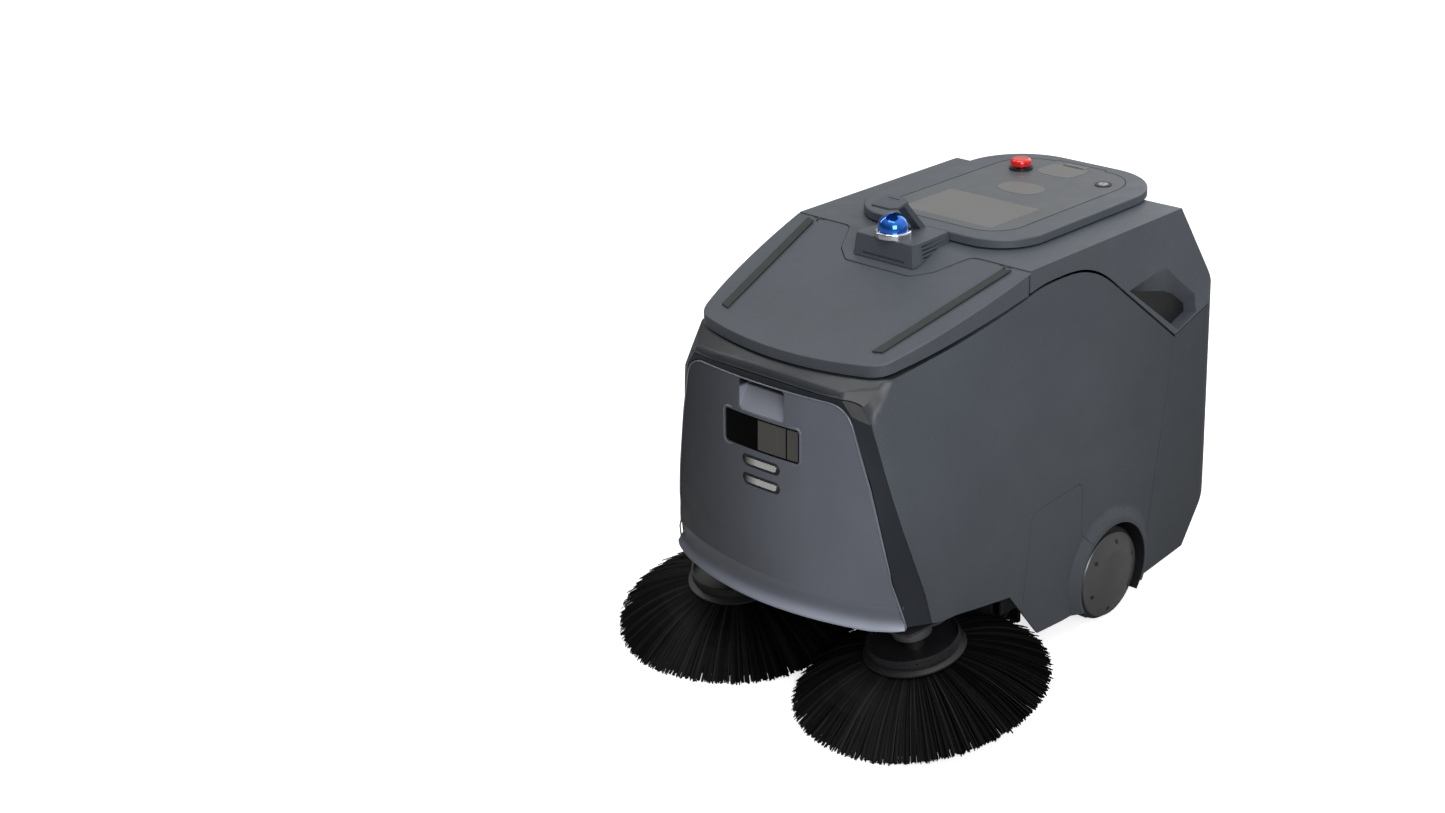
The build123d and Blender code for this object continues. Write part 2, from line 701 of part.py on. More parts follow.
save(bristles.part, "left_brush_bristles")
save(mirror(bristles.part, about=Plane.YZ), "right_brush_bristles")
save(collar.part, "left_brush_collar")
save(mirror(collar.part, about=Plane.YZ), "right_brush_collar")
save(both_sides(brush_motor.part), "brush_motors")

# ---------------------------------------------------------------- casters
CASTERS = (("front", CASTER_FRONT_Y), ("rear", CASTER_REAR_Y))


def caster_parts(y):
    """Swivel fork with its axle, and the wheel, of one caster."""
    with BuildPart() as fork:
        with Locations((0, y, 99)):
            Cylinder(17, 6)
        with Locations((0, y, 106)):
            Cylinder(6, 12)
        with BuildSketch(Plane.YZ.offset(12)):
            with BuildLine():
                Polyline((y - 10, 98), (y + 12, 98), (y + CASTER_TRAIL + 8, 30),
                         (y + CASTER_TRAIL - 8, 30), close=True)
            make_face()
            with Locations((y + CASTER_TRAIL, 30)):
                Circle(8)
        extrude(amount=3)
        mirror(about=Plane.YZ)
        with Locations((0, y + CASTER_TRAIL, CASTER_R)):
            Cylinder(4, 34, rotation=(0, 90, 0))
    with BuildPart() as wheel:
        with Locations((0, y + CASTER_TRAIL, CASTER_R)):
            Cylinder(CASTER_R, 20, rotation=(0, 90, 0))
            fillet(wheel.edges(), radius=3)
            Cylinder(4.05, 20, rotation=(0, 90, 0), mode=Mode.SUBTRACT)
    return fork.part, wheel.part


for word, y in CASTERS:
    fork_part, wheel_part = caster_parts(y)
    save(fork_part, f"{word}_caster_fork")
    save(wheel_part, f"{word}_caster_wheel")

# ---------------------------------------------------------------- main roller and its drive


def cross_roller(x, z=ROLLER_Z):
    """Plane across the machine's width axis, centred on the roller or its motor."""
    return Plane(origin=(x, ROLLER_Y, z), x_dir=(0, 1, 0), z_dir=(1, 0, 0))


with BuildPart() as roller_core:
    with BuildSketch(cross_roller(0)):
        Circle(26)
    extrude(amount=ROLLER_HALF, both=True)
    with BuildSketch(cross_roller(-180)):
        Circle(ROLLER_SHAFT_R)
    extrude(amount=370)
save(roller_core.part, "roller_core")

with BuildPart() as roller_bristles:
    with BuildSketch(cross_roller(0)):
        Circle(36)
        with PolarLocations(ROLLER_R - 20, 8):
            Rectangle(40, 9)
        Circle(26, mode=Mode.SUBTRACT)
    extrude(amount=ROLLER_HALF - 5, both=True)
save(roller_bristles.part, "roller_bristles")

with BuildPart() as roller_pulley:
    with BuildSketch(cross_roller(PULLEY_X - PULLEY_W / 2)):
        Circle(PULLEY_R)
        Circle(ROLLER_SHAFT_R, mode=Mode.SUBTRACT)
    extrude(amount=PULLEY_W)
save(roller_pulley.part, "roller_pulley")

# The motor's shaft carries the small pulley outside the can and the rotor inside it.
ROTOR_X, ROTOR_R, ROTOR_LONG = 163.5, 22.0, 84.0
with BuildPart() as motor_pulley:
    with BuildSketch(cross_roller(PULLEY_X - PULLEY_W / 2, MOTOR_Z)):
        Circle(MOTOR_PULLEY_R)
    extrude(amount=PULLEY_W)
    with BuildSketch(cross_roller(PULLEY_X - PULLEY_W / 2, MOTOR_Z)):
        Circle(MOTOR_SHAFT_R)
    extrude(amount=ROTOR_X - PULLEY_X)
    with BuildSketch(cross_roller(ROTOR_X, MOTOR_Z)):
        Circle(ROTOR_R)
    extrude(amount=-ROTOR_LONG)
save(motor_pulley.part, "motor_pulley")


def belt_loop(extra):
    """Closed loop round both pulleys, extra millimetres off their faces."""
    with BuildSketch(cross_roller(PULLEY_X - 4)) as loop:
        Circle(PULLEY_R + extra)
        with Locations((0, MOTOR_Z - ROLLER_Z)):
            Circle(MOTOR_PULLEY_R + extra)
        make_hull()
    return loop.sketch


with BuildPart() as drive_belt:
    add(belt_loop(2.1))
    extrude(amount=8, dir=(1, 0, 0))
    add(belt_loop(0.1))
    extrude(amount=8, dir=(1, 0, 0), mode=Mode.SUBTRACT)
save(drive_belt.part, "drive_belt")

CAN_X, CAN_LONG, CAN_T = 171.5, 100.0, 4.0
with BuildPart() as roller_motor:
    with BuildSketch(cross_roller(CAN_X, MOTOR_Z)):
        Circle(MOTOR_R)
    extrude(amount=-CAN_LONG)
    with BuildSketch(cross_roller(CAN_X - CAN_T, MOTOR_Z)):
        Circle(MOTOR_R - CAN_T)
    extrude(amount=2 * CAN_T - CAN_LONG, mode=Mode.SUBTRACT)
    with BuildSketch(cross_roller(CAN_X, MOTOR_Z)):
        Circle(MOTOR_SHAFT_R + RUN_FIT)
    extrude(amount=-CAN_T, mode=Mode.SUBTRACT)
save(roller_motor.part, "roller_motor")

with BuildPart() as roller_housing:
    with BuildSketch(cross_roller(172)):
        with Locations((0, 10)):
            Rectangle(148, 60)
        with Locations((0, 80)):
            Rectangle(80, 170)
        Circle(ROLLER_SHAFT_R + RUN_FIT, mode=Mode.SUBTRACT)
        with Locations((0, MOTOR_Z - ROLLER_Z)):
            Circle(MOTOR_SHAFT_R + RUN_FIT, mode=Mode.SUBTRACT)
    extrude(amount=4)
    with BuildSketch(cross_roller(-172)):
        with Locations((0, 10)):
            Rectangle(148, 60)
        Circle(ROLLER_SHAFT_R + RUN_FIT, mode=Mode.SUBTRACT)
    extrude(amount=-4)
    with BuildSketch(cross_roller(0)):
        Circle(76)
        Circle(72.5, mode=Mode.SUBTRACT)
        with Locations((-80, -20)):
            Rectangle(100, 90, mode=Mode.SUBTRACT)
        with Locations((0, -60)):
            Rectangle(200, 90, mode=Mode.SUBTRACT)
    extrude(amount=172, both=True)
save(roller_housing.part, "roller_housing")

with BuildPart() as dust_skirts:
    with Locations((0, -46, 57)):
        Box(320, 3, 104)
    with Locations((0, -204, 62)):
        Box(320, 3, 94)
save(dust_skirts.part, "dust_skirts")

# ---------------------------------------------------------------- battery, electronics and fan
with BuildPart() as battery_pack:
    with Locations((0, 130, 203)):
        Box(260, 170, 178)
    fillet(battery_pack.edges(), radius=5)
save(battery_pack.part, "battery_pack")

with BuildPart() as control_box:
    with Locations((0, 130, 339.5)):
        Box(230, 150, 95)
    chamfer(control_box.edges(), length=4)
save(control_box.part, "control_box")

FAN_Y, FAN_R = -120.0, 78.0
with BuildPart() as fan_housing:
    with Locations((0, FAN_Y, 424)):
        Cylinder(FAN_R, 56)
        Cylinder(FAN_R - 4, 48, mode=Mode.SUBTRACT)
    with Locations((0, FAN_Y, 450)):
        Cylinder(34, 10, mode=Mode.SUBTRACT)
    with Locations((0, FAN_Y, 398)):
        Cylinder(5.05, 12, mode=Mode.SUBTRACT)
save(fan_housing.part, "fan_housing")

with BuildPart() as fan_impeller:
    with Locations((0, FAN_Y, 404)):
        Cylinder(68, 3)
    with Locations((0, FAN_Y, 412)):
        Cylinder(12, 16)
    with BuildSketch(Plane.XY.offset(405)):
        with Locations((0, FAN_Y)):
            with PolarLocations(44, 12):
                Rectangle(44, 2, rotation=25)
    extrude(amount=34)
    with Locations((0, FAN_Y, 400)):
        Cylinder(5, 8)
save(fan_impeller.part, "fan_impeller")

# ---------------------------------------------------------------- dust drawer
BIN_HALF, BIN_FRONT, BIN_REAR = 165.0, -542.0, -222.0
BIN_FLOOR, BIN_TOP, BIN_T = 186.0, 440.0, 3.0
BIN_MID = (BIN_FRONT + BIN_REAR) / 2
BIN_LONG = BIN_REAR - BIN_FRONT
HANDLE_HALF = 52.0

with BuildPart() as handle_hole:
    with BuildSketch(Plane.XZ.offset(540)):
        with Locations((0, 538.5)):
            RectangleRounded(2 * HANDLE_HALF, 55, 9)
    extrude(amount=150)
with BuildPart() as window_hole:
    with BuildSketch(Plane.XZ.offset(540)):
        with Locations((0, 477.5)):
            RectangleRounded(166, 58, 7)
    extrude(amount=150)
CONTACTS = (428.0, 395.0)
with BuildPart() as contact_hole:
    with BuildSketch(Plane.XZ.offset(540)):
        with Locations(*[(0, z) for z in CONTACTS]):
            SlotOverall(86, 21)
    extrude(amount=150)

door_above = side_outline(((-700, BUMPER_TOP + 1), (-700, 900), (-400, 900),
                           (-400, BUMPER_TOP + 1)))
door_below = side_outline(((-700, 172), (-700, BUMPER_TOP), (-400, BUMPER_TOP), (-400, 172)))
with BuildPart() as door_panel:
    add(lower_cover.part)
    add(door_prism, mode=Mode.INTERSECT)
    add(door_above, mode=Mode.INTERSECT)
    add(handle_hole.part, mode=Mode.SUBTRACT)
    add(window_hole.part, mode=Mode.SUBTRACT)
    add(contact_hole.part, mode=Mode.SUBTRACT)
save(door_panel.part, "door_panel")

with BuildPart() as door_bumper:
    add(skin(-2.5))
    add(skin(WALL), mode=Mode.SUBTRACT)
    add(door_prism, mode=Mode.INTERSECT)
    add(door_below, mode=Mode.INTERSECT)
    add(outer_side, mode=Mode.INTERSECT)
save(door_bumper.part, "door_bumper")

with BuildPart() as door_handle:
    with Locations((0, -585, 538.5)):
        Box(2 * HANDLE_HALF + 8, 60, 57)
    add(skin(WALL), mode=Mode.INTERSECT)
    with BuildSketch(Plane.YZ):
        with BuildLine():
            Polyline((-640, 512), (-604, 512), (-585, 548), (-562, 548), (-562, 565),
                     (-640, 565), close=True)
        make_face()
    extrude(amount=HANDLE_HALF, both=True, mode=Mode.SUBTRACT)
save(door_handle.part, "door_handle")


def skin_layer(outer, inner, prism):
    """Curved plate between two depths behind the skin, cut by a front-view prism."""
    with BuildPart() as layer:
        add(skin(outer))
        add(skin(inner), mode=Mode.SUBTRACT)
        add(prism, mode=Mode.INTERSECT)
    return layer.part


def front_prism(width, height, z_list, corner):
    """Rounded front-view prisms through the door."""
    with BuildPart() as prism:
        with BuildSketch(Plane.XZ.offset(540)):
            with Locations(*[(0, z) for z in z_list]):
                RectangleRounded(width, height, corner)
        extrude(amount=150)
    return prism.part


camera_window = skin_layer(1.6, WALL, front_prism(165.4, 57.4, (477.5,), 6.7))
save(camera_window, "camera_window")

metal_prism = front_prism(70, 11, CONTACTS, 5.4)
contact_block = skin_layer(2.0, WALL + 4, front_prism(85.4, 20.4, CONTACTS, 10.1)) - metal_prism
save(contact_block, "contact_block")
charge_contacts = skin_layer(-0.5, WALL + 6, metal_prism)
save(charge_contacts, "charge_contacts")

with BuildPart() as camera_module:
    with Locations((0, -580, 477.5)):
        Box(150, 26, 50)
    with Locations(*[(x, -594, 477.5) for x in (-52, -20, 20, 52)]):
        Cylinder(9, 14, rotation=(90, 0, 0))
save(camera_module.part, "camera_module")

with BuildPart() as door_bracket:
    with Locations((0, -580, 300)):
        Box(160, 76.5, 60)
        Box(152, 76.5, 80, mode=Mode.SUBTRACT)
    add(skin(WALL), mode=Mode.INTERSECT)
with BuildPart() as dust_bin:
    with Locations((0, BIN_MID, (BIN_FLOOR + BIN_TOP) / 2)):
        Box(2 * BIN_HALF, BIN_LONG, BIN_TOP - BIN_FLOOR)
    with Locations((0, BIN_MID, (BIN_FLOOR + BIN_TOP) / 2 + BIN_T)):
        Box(2 * (BIN_HALF - BIN_T), BIN_LONG - 2 * BIN_T, BIN_TOP - BIN_FLOOR, mode=Mode.SUBTRACT)
    with Locations((0, BIN_REAR, 232)):
        Box(280, 20, 70, mode=Mode.SUBTRACT)
    with Locations(*[(side * (BIN_HALF + 3), BIN_MID, 208) for side in SIDES]):
        Box(7, BIN_LONG - 20, 6)
bin_with_bracket = dust_bin.part + door_bracket.part
save(bin_with_bracket, "dust_bin")

with BuildPart() as bin_filter:
    with Locations((0, -292, BIN_TOP + 3)):
        Box(320, 138, 6)
    with BuildSketch(Plane.YZ):
        with Locations((-292, BIN_TOP + 12)):
            with GridLocations(9, 1, 12, 1):
                Triangle(a=14, b=14, c=8)
    extrude(amount=140, both=True)
save(bin_filter.part, "bin_filter")

with BuildPart() as drawer_rails:
    with Locations(*[(side * 173, BIN_MID + 10, 199) for side in SIDES]):
        Box(7, BIN_LONG - 60, 46)
    with Locations(*[(side * 169.5, BIN_MID, 208) for side in SIDES]):
        Box(6, BIN_LONG + 60, 7, mode=Mode.SUBTRACT)
save(drawer_rails.part, "drawer_rails")

# ---------------------------------------------------------------- sensor pod
with BuildPart() as sensor_base:
    with BuildSketch(Plane.XY.offset(685)):
        with BuildLine():
            Polyline((-68, -312), (68, -312), (73, -296), (64, -208), (-64, -208),
                     (-73, -296), close=True)
        make_face()
    with BuildSketch(Plane.XY.offset(738)):
        with BuildLine():
            Polyline((-61, -307), (61, -307), (65, -293), (56, -208), (-56, -208),
                     (-65, -293), close=True)
        make_face()
    loft(ruled=True)
    fillet(sensor_base.edges().filter_by(Axis.X).sort_by(Axis.Z)[-2:-1], radius=2)
    with BuildSketch(Plane.YZ):
        with BuildLine():
            Polyline((-340, 650), (-340, deck_height(-340)), (SEAM_Y, TOP_Z + 0.2),
                     (-180, TOP_Z + 1.5), (-180, 650), close=True)
        make_face()
    extrude(amount=100, both=True, mode=Mode.SUBTRACT)
    with Locations((0, -314, 706)):
        Box(92, 14, 4, mode=Mode.SUBTRACT)
    for level in range(4):
        with Locations(*[(side * 74, -252, 731 - 6.5 * level) for side in SIDES]):
            Box(30, 70, 3, mode=Mode.SUBTRACT)

with BuildPart() as lidar_ring:
    with Locations((0, POD_Y, 743)):
        Cylinder(31, 10)
    fillet(lidar_ring.edges().group_by(Axis.Z)[-1], radius=3)
    with Locations((0, POD_Y, 743)):
        Cylinder(26, 10, mode=Mode.SUBTRACT)
save(lidar_ring.part, "lidar_ring")

with BuildPart() as lidar_dome:
    with Locations((0, POD_Y, 752)):
        Sphere(26)
    with Locations((0, POD_Y, 745)):
        Cylinder(26, 14)
    with Locations((0, POD_Y, 728)):
        Box(80, 80, 20, mode=Mode.SUBTRACT)
save(lidar_dome.part, "lidar_dome")

with BuildPart() as lidar_guard:
    with BuildSketch(Plane(origin=(0, -292, 795), z_dir=(0, -0.2, 1))):
        with BuildLine():
            Polyline((-13, -30), (13, -30), (21, -16), (21, 22), (-21, 22), (-21, -16),
                     close=True)
        make_face()
    extrude(amount=4)
    with BuildSketch(Plane.YZ):
        with BuildLine():
            Polyline((-282, 802), (-270, 802), (-212, 738), (-212, 736), (-226, 736),
                     (-226, 738), close=True)
        make_face()
    extrude(amount=11, both=True)
sensor_pod = sensor_base.part + lidar_guard.part
save(sensor_pod, "sensor_pod")

# ---------------------------------------------------------------- lid with the controls
LID_TILT = Plane(origin=(0, 0, LID_Z), x_dir=(1, 0, 0), z_dir=(0, -LID_RISE, 1))
PANEL_HALF, PANEL_FRONT, PANEL_REAR = 137.0, -170.0, 240.0
PANEL_T = 5.0


def lid_outline(half, front, rear, front_corner, rear_corner, depth):
    """Rounded outline on the lid's tilted plane, at a depth below its top."""
    with BuildSketch(LID_TILT.offset(-depth)) as outline:
        with BuildLine():
            Polyline((-half, front), (half, front), (half, rear), (-half, rear), close=True)
        make_face()
        fillet(outline.vertices().group_by(Axis.Y)[0], front_corner)
        fillet(outline.vertices().group_by(Axis.Y)[-1], rear_corner)
    return outline.sketch


def panel_outline(grow, depth):
    """Control panel outline, with the tab at its rear edge."""
    with BuildSketch(LID_TILT.offset(-depth)) as outline:
        with BuildLine():
            Polyline((-PANEL_HALF, PANEL_FRONT), (PANEL_HALF, PANEL_FRONT),
                     (PANEL_HALF, PANEL_REAR), (-PANEL_HALF, PANEL_REAR), close=True)
        make_face()
        fillet(outline.vertices().group_by(Axis.Y)[0], 62)
        fillet(outline.vertices().group_by(Axis.Y)[-1], 76)
        with Locations((-3, PANEL_REAR)):
            Rectangle(112, 14)
        if grow:
            offset(amount=grow)
    return outline.sketch


ESTOP = (-79.0, 162.0)
LOCK = (100.0, 172.0)
SCREEN = (0.0, -80.0)
with BuildPart() as lid_frame:
    add(lid_outline(LID_HALF, LID_FRONT, LID_REAR, 92, 125, 0))
    extrude(amount=-LID_T)
    fillet(lid_frame.edges().group_by(Axis.Z)[-1], radius=3)
    add(panel_outline(1.0, 0))
    extrude(amount=-PANEL_T, mode=Mode.SUBTRACT)
    add(lid_outline(LID_HALF - 10, LID_FRONT + 10, LID_REAR - 30, 82, 92, 9))
    extrude(amount=-20, mode=Mode.SUBTRACT)
    with BuildSketch(LID_TILT):
        with Locations(ESTOP):
            Circle(16)
        with Locations(LOCK):
            Circle(13.5)
    extrude(amount=-20, mode=Mode.SUBTRACT)

with BuildPart() as control_panel:
    add(panel_outline(0, 0))
    extrude(amount=-PANEL_T)
    with BuildSketch(LID_TILT):
        with Locations(ESTOP):
            Circle(16)
        with Locations(LOCK):
            Circle(13.5)
    extrude(amount=-20, mode=Mode.SUBTRACT)
    with BuildSketch(LID_TILT):
        with Locations(SCREEN):
            RectangleRounded(200.6, 135.6, 4.3)
    extrude(amount=-2, mode=Mode.SUBTRACT)
save(control_panel.part, "control_panel")

with BuildPart() as touch_screen:
    with BuildSketch(LID_TILT.offset(-2)):
        with Locations(SCREEN):
            RectangleRounded(200, 135, 4)
    extrude(amount=2)
save(touch_screen.part, "touch_screen")

# ---------------------------------------------------------------- emergency stop and key lock
STEM_R = 8.0


def lid_rings(centre, steps, bore):
    """Stacked discs on the lid's normal, as (radius, low, high), with a through bore."""
    with BuildPart() as rings:
        for radius, low, high in steps:
            with BuildSketch(LID_TILT.offset(low)):
                with Locations(centre):
                    Circle(radius)
            extrude(amount=high - low)
        if bore:
            with BuildSketch(LID_TILT.offset(-40)):
                with Locations(centre):
                    Circle(bore)
            extrude(amount=80, mode=Mode.SUBTRACT)
    return rings


estop_base = lid_rings(ESTOP, ((15.9, -14, 1), (22, 0, 4)), STEM_R + RUN_FIT)
save(estop_base.part, "estop_base")
with BuildPart() as estop_button:
    add(lid_rings(ESTOP, ((STEM_R, -12, 10), (19.5, 8.5, 20)), 0).part)
    fillet(estop_button.edges().filter_by(GeomType.CIRCLE).sort_by(Axis.Z)[-1], radius=6)
save(estop_button.part, "estop_button")

lock_barrel = lid_rings(LOCK, ((13.4, -14, 1), (15.5, 0, 1.6)), 9.05)
save(lock_barrel.part, "lock_barrel")
with BuildPart() as lock_cylinder:
    add(lid_rings(LOCK, ((9, -12, 2.0),), 0).part)
    with BuildSketch(LID_TILT.offset(2.0)):
        with Locations(LOCK):
            Rectangle(2, 9)
    extrude(amount=-6, mode=Mode.SUBTRACT)
save(lock_cylinder.part, "lock_cylinder")

# ---------------------------------------------------------------- lid hinge
with BuildPart() as lid_knuckles:
    for side in SIDES:
        with BuildSketch(Plane.YZ.offset(side * KNUCKLE_X)):
            with BuildLine():
                Polyline((LID_HINGE_Y - 7, LID_HINGE_Z), (LID_HINGE_Y - 7, 734),
                         (LID_HINGE_Y + 7, 734), (LID_HINGE_Y + 7, LID_HINGE_Z), close=True)
            make_face()
            with Locations((LID_HINGE_Y, LID_HINGE_Z)):
                Circle(7)
        extrude(amount=4, both=True)
with BuildPart() as lid_with_knuckles:
    add(lid_frame.part)
    add(lid_knuckles.part)
    with Locations(*[(side * KNUCKLE_X, LID_HINGE_Y, LID_HINGE_Z) for side in SIDES]):
        Cylinder(LID_PIN_R, 30, rotation=(0, 90, 0), mode=Mode.SUBTRACT)
save(lid_with_knuckles.part, "lid_frame")

with BuildPart() as lid_hinge_pins:
    with Locations(*[(side * (KNUCKLE_X - 5), LID_HINGE_Y, LID_HINGE_Z) for side in SIDES]):
        Cylinder(LID_PIN_R, 22, rotation=(0, 90, 0))
save(lid_hinge_pins.part, "lid_hinge_pins")
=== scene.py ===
"""Looks of the robotic floor sweeper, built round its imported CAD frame.

Metres, +Z up. The front of the machine faces -Y and its left side is +X.
"""

import bmesh
import bpy
import json
import math
import random
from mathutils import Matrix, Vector
from mathutils.bvhtree import BVHTree

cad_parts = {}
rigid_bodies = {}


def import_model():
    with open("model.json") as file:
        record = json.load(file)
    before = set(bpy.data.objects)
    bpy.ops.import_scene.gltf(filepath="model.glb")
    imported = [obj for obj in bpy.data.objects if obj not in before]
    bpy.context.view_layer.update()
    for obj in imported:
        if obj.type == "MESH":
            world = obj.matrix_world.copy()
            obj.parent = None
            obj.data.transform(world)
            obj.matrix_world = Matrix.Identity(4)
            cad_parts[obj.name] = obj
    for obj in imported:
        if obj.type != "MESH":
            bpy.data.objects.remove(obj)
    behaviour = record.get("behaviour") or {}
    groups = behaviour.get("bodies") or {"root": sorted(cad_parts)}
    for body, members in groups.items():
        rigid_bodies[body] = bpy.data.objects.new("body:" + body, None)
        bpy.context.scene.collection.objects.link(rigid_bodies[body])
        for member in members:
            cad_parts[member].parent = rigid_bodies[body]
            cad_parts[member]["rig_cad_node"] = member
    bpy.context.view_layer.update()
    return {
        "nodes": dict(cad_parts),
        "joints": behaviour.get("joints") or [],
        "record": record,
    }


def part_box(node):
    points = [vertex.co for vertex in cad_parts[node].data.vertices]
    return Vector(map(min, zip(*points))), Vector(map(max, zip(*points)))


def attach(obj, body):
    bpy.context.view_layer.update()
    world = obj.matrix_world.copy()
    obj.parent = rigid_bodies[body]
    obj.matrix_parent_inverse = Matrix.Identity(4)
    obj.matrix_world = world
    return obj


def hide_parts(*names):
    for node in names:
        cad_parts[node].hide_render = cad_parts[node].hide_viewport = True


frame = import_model()
nodes = frame["nodes"]
record = frame["record"]
rng = random.Random(7)
SIDES = ((1, "left"), (-1, "right"))


# ---------------------------------------------------------------- materials
# Sockets of a Mix node by number, since its value and colour sockets share their names.
COLOUR_A, COLOUR_B, COLOUR_OUT = 6, 7, 2
VALUE_A, VALUE_B = 2, 3

EDGE_HIGHLIGHT_TURN = (0.97, 0.8)         # agreement of bevelled and true normal, from a plain face to an edge with a full painted highlight
FACES_UP = (0.12, 0.42)         # upward part of a normal, from no painted shade to full painted shade
FAR_FORWARD = (-0.30, -0.42)    # place along Y, from no painted shade to full painted shade
COAT_ROUGHNESS = 0.12
EDGE_SAMPLES = 4
# Noise scales, and the part of each noise that is stretched to its full effect.
CLOUD_SCALE, CLOUD_RANGE = 9.0, (0.35, 0.65)
DOTS_DETAIL, DOTS_RANGE = 2.0, (0.52, 0.7)
ROUGH_SCALE, ROUGH_RANGE = 24.0, (0.3, 0.7)


class Finish:
    """A procedural material: colour variation, speckle, painted edge highlights, painted tone, roughness
    and bump.

    Tone comes from shade, a point attribute that brightens; from a mask of faces that look up near the
    front, where shade is painted; and from ramps of painted shade, rows of (axis, dark at, light at, share
    of the colour left when dark).
    """

    def __init__(self, name, colour, rough, **more):
        self.mat = bpy.data.materials.new(name)
        self.mat.use_nodes = True
        self.tree = self.mat.node_tree
        self.shader = self.tree.nodes["Principled BSDF"]
        self.coord = self.node("ShaderNodeTexCoord").outputs["Object"]
        self.build(colour, rough, **more)

    def node(self, kind, **inputs):
        made = self.tree.nodes.new(kind)
        for key, value in inputs.items():
            made.inputs[key.replace("_", " ")].default_value = value
        return made

    def link(self, a, b):
        self.tree.links.new(a, b)

    def noise(self, scale, detail=4.0, stretch=None):
        made = self.node("ShaderNodeTexNoise", Scale=scale, Detail=detail)
        if stretch:
            mapping = self.node("ShaderNodeMapping", Scale=stretch)
            self.link(self.coord, mapping.inputs["Vector"])
            self.link(mapping.outputs["Vector"], made.inputs["Vector"])
        else:
            self.link(self.coord, made.inputs["Vector"])
        return made.outputs["Fac"]

    def ramp(self, source, low, high, out_low, out_high):
        made = self.node("ShaderNodeMapRange", From_Min=low, From_Max=high, To_Min=out_low, To_Max=out_high)
        self.link(source, made.inputs["Value"])
        return made.outputs["Result"]

    def mix(self, factor, a, b):
        made = self.node("ShaderNodeMix")
        made.data_type = "RGBA"
        self.link(factor, made.inputs["Factor"])
        for socket, value in ((made.inputs[COLOUR_A], a), (made.inputs[COLOUR_B], b)):
            if isinstance(value, tuple):
                socket.default_value = (*value, 1)
            else:
                self.link(value, socket)
        return made.outputs[COLOUR_OUT]

    def build(self, colour, rough, metal=0.0, cloud=0.12, speckle=0.0, speckle_scale=700.0,
              edge=0.2, bump=0.00008, grain=1400.0, rough_spread=0.06, coat=0.0, bevel=0.0007,
              stretch=None, specular=0.5, painted_shade_ramps=(), shade=None, shade_gain=2.0,
              dim_up=None, specular_ramp=None):
        def scaled(k):
            return tuple(min(1.0, c * k) for c in colour)

        clouds = self.ramp(self.noise(CLOUD_SCALE), *CLOUD_RANGE, 0, 1)
        base = self.mix(clouds, scaled(1 - cloud), scaled(1 + cloud))
        if speckle:
            dots = self.ramp(self.noise(speckle_scale, DOTS_DETAIL), *DOTS_RANGE, 0, 1)
            base = self.mix(dots, base, scaled(1 + speckle))
        soft = None
        if bevel:
            soft = self.node("ShaderNodeBevel", Radius=bevel)
            soft.samples = EDGE_SAMPLES
        # painted highlight: edges found by the bevel are lightened
        if edge and bevel:
            turn = self.node("ShaderNodeVectorMath")
            turn.operation = "DOT_PRODUCT"
            self.link(soft.outputs["Normal"], turn.inputs[0])
            self.link(self.node("ShaderNodeNewGeometry").outputs["Normal"], turn.inputs[1])
            edge_highlight = self.ramp(turn.outputs["Value"], *EDGE_HIGHLIGHT_TURN, 0, 1)
            base = self.mix(edge_highlight, base, scaled(1 + edge * 2))
        # brightening from a point attribute: random strand tone, painted shade in the brush gaps, painted
        # highlight on the bumper lip
        if shade:
            tone = self.node("ShaderNodeAttribute")
            tone.attribute_name = shade
            base = self.mix(tone.outputs["Fac"], base, scaled(shade_gain))
        place = self.node("ShaderNodeSeparateXYZ")
        self.link(self.coord, place.inputs[0])
        # painted shade: faces that look up near the front are darkened
        if dim_up:
            facing = self.node("ShaderNodeSeparateXYZ")
            self.link(self.node("ShaderNodeNewGeometry").outputs["Normal"], facing.inputs[0])
            amount = self.node("ShaderNodeMath")
            amount.operation = "MULTIPLY"
            self.link(self.ramp(facing.outputs["Z"], *FACES_UP, 0, 1), amount.inputs[0])
            self.link(self.ramp(place.outputs["Y"], *FAR_FORWARD, 0, 1), amount.inputs[1])
            base = self.mix(amount.outputs[0], base, scaled(dim_up))
        # painted shade: the colour is darkened along an axis
        for along, dark_at, light_at, share in painted_shade_ramps:
            shadow = self.node("ShaderNodeMix")
            shadow.data_type = "RGBA"
            shadow.blend_type = "MULTIPLY"
            shadow.inputs[0].default_value = 1.0
            self.link(base, shadow.inputs[COLOUR_A])
            left = self.ramp(place.outputs[along], dark_at, light_at, share, 1)
            self.link(left, shadow.inputs[COLOUR_B])
            base = shadow.outputs[COLOUR_OUT]
        shader = self.shader.inputs
        self.link(base, shader["Base Color"])
        grit = self.noise(grain, stretch=stretch)
        least, most = rough - rough_spread, rough + rough_spread
        uneven = self.ramp(self.noise(ROUGH_SCALE), *ROUGH_RANGE, least, most)
        self.link(uneven, shader["Roughness"])
        bumped = self.node("ShaderNodeBump", Strength=1.0, Distance=bump)
        self.link(grit, bumped.inputs["Height"])
        if soft:
            self.link(soft.outputs["Normal"], bumped.inputs["Normal"])
        self.link(bumped.outputs["Normal"], shader["Normal"])
        shader["Metallic"].default_value = metal
        shader["Coat Weight"].default_value = coat
        shader["Coat Roughness"].default_value = COAT_ROUGHNESS
        shader["Specular IOR Level"].default_value = specular
        if specular_ramp:
            self.link(self.ramp(place.outputs["X"], *specular_ramp), shader["Specular IOR Level"])


HANDLE_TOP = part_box("door_handle")[1][2]

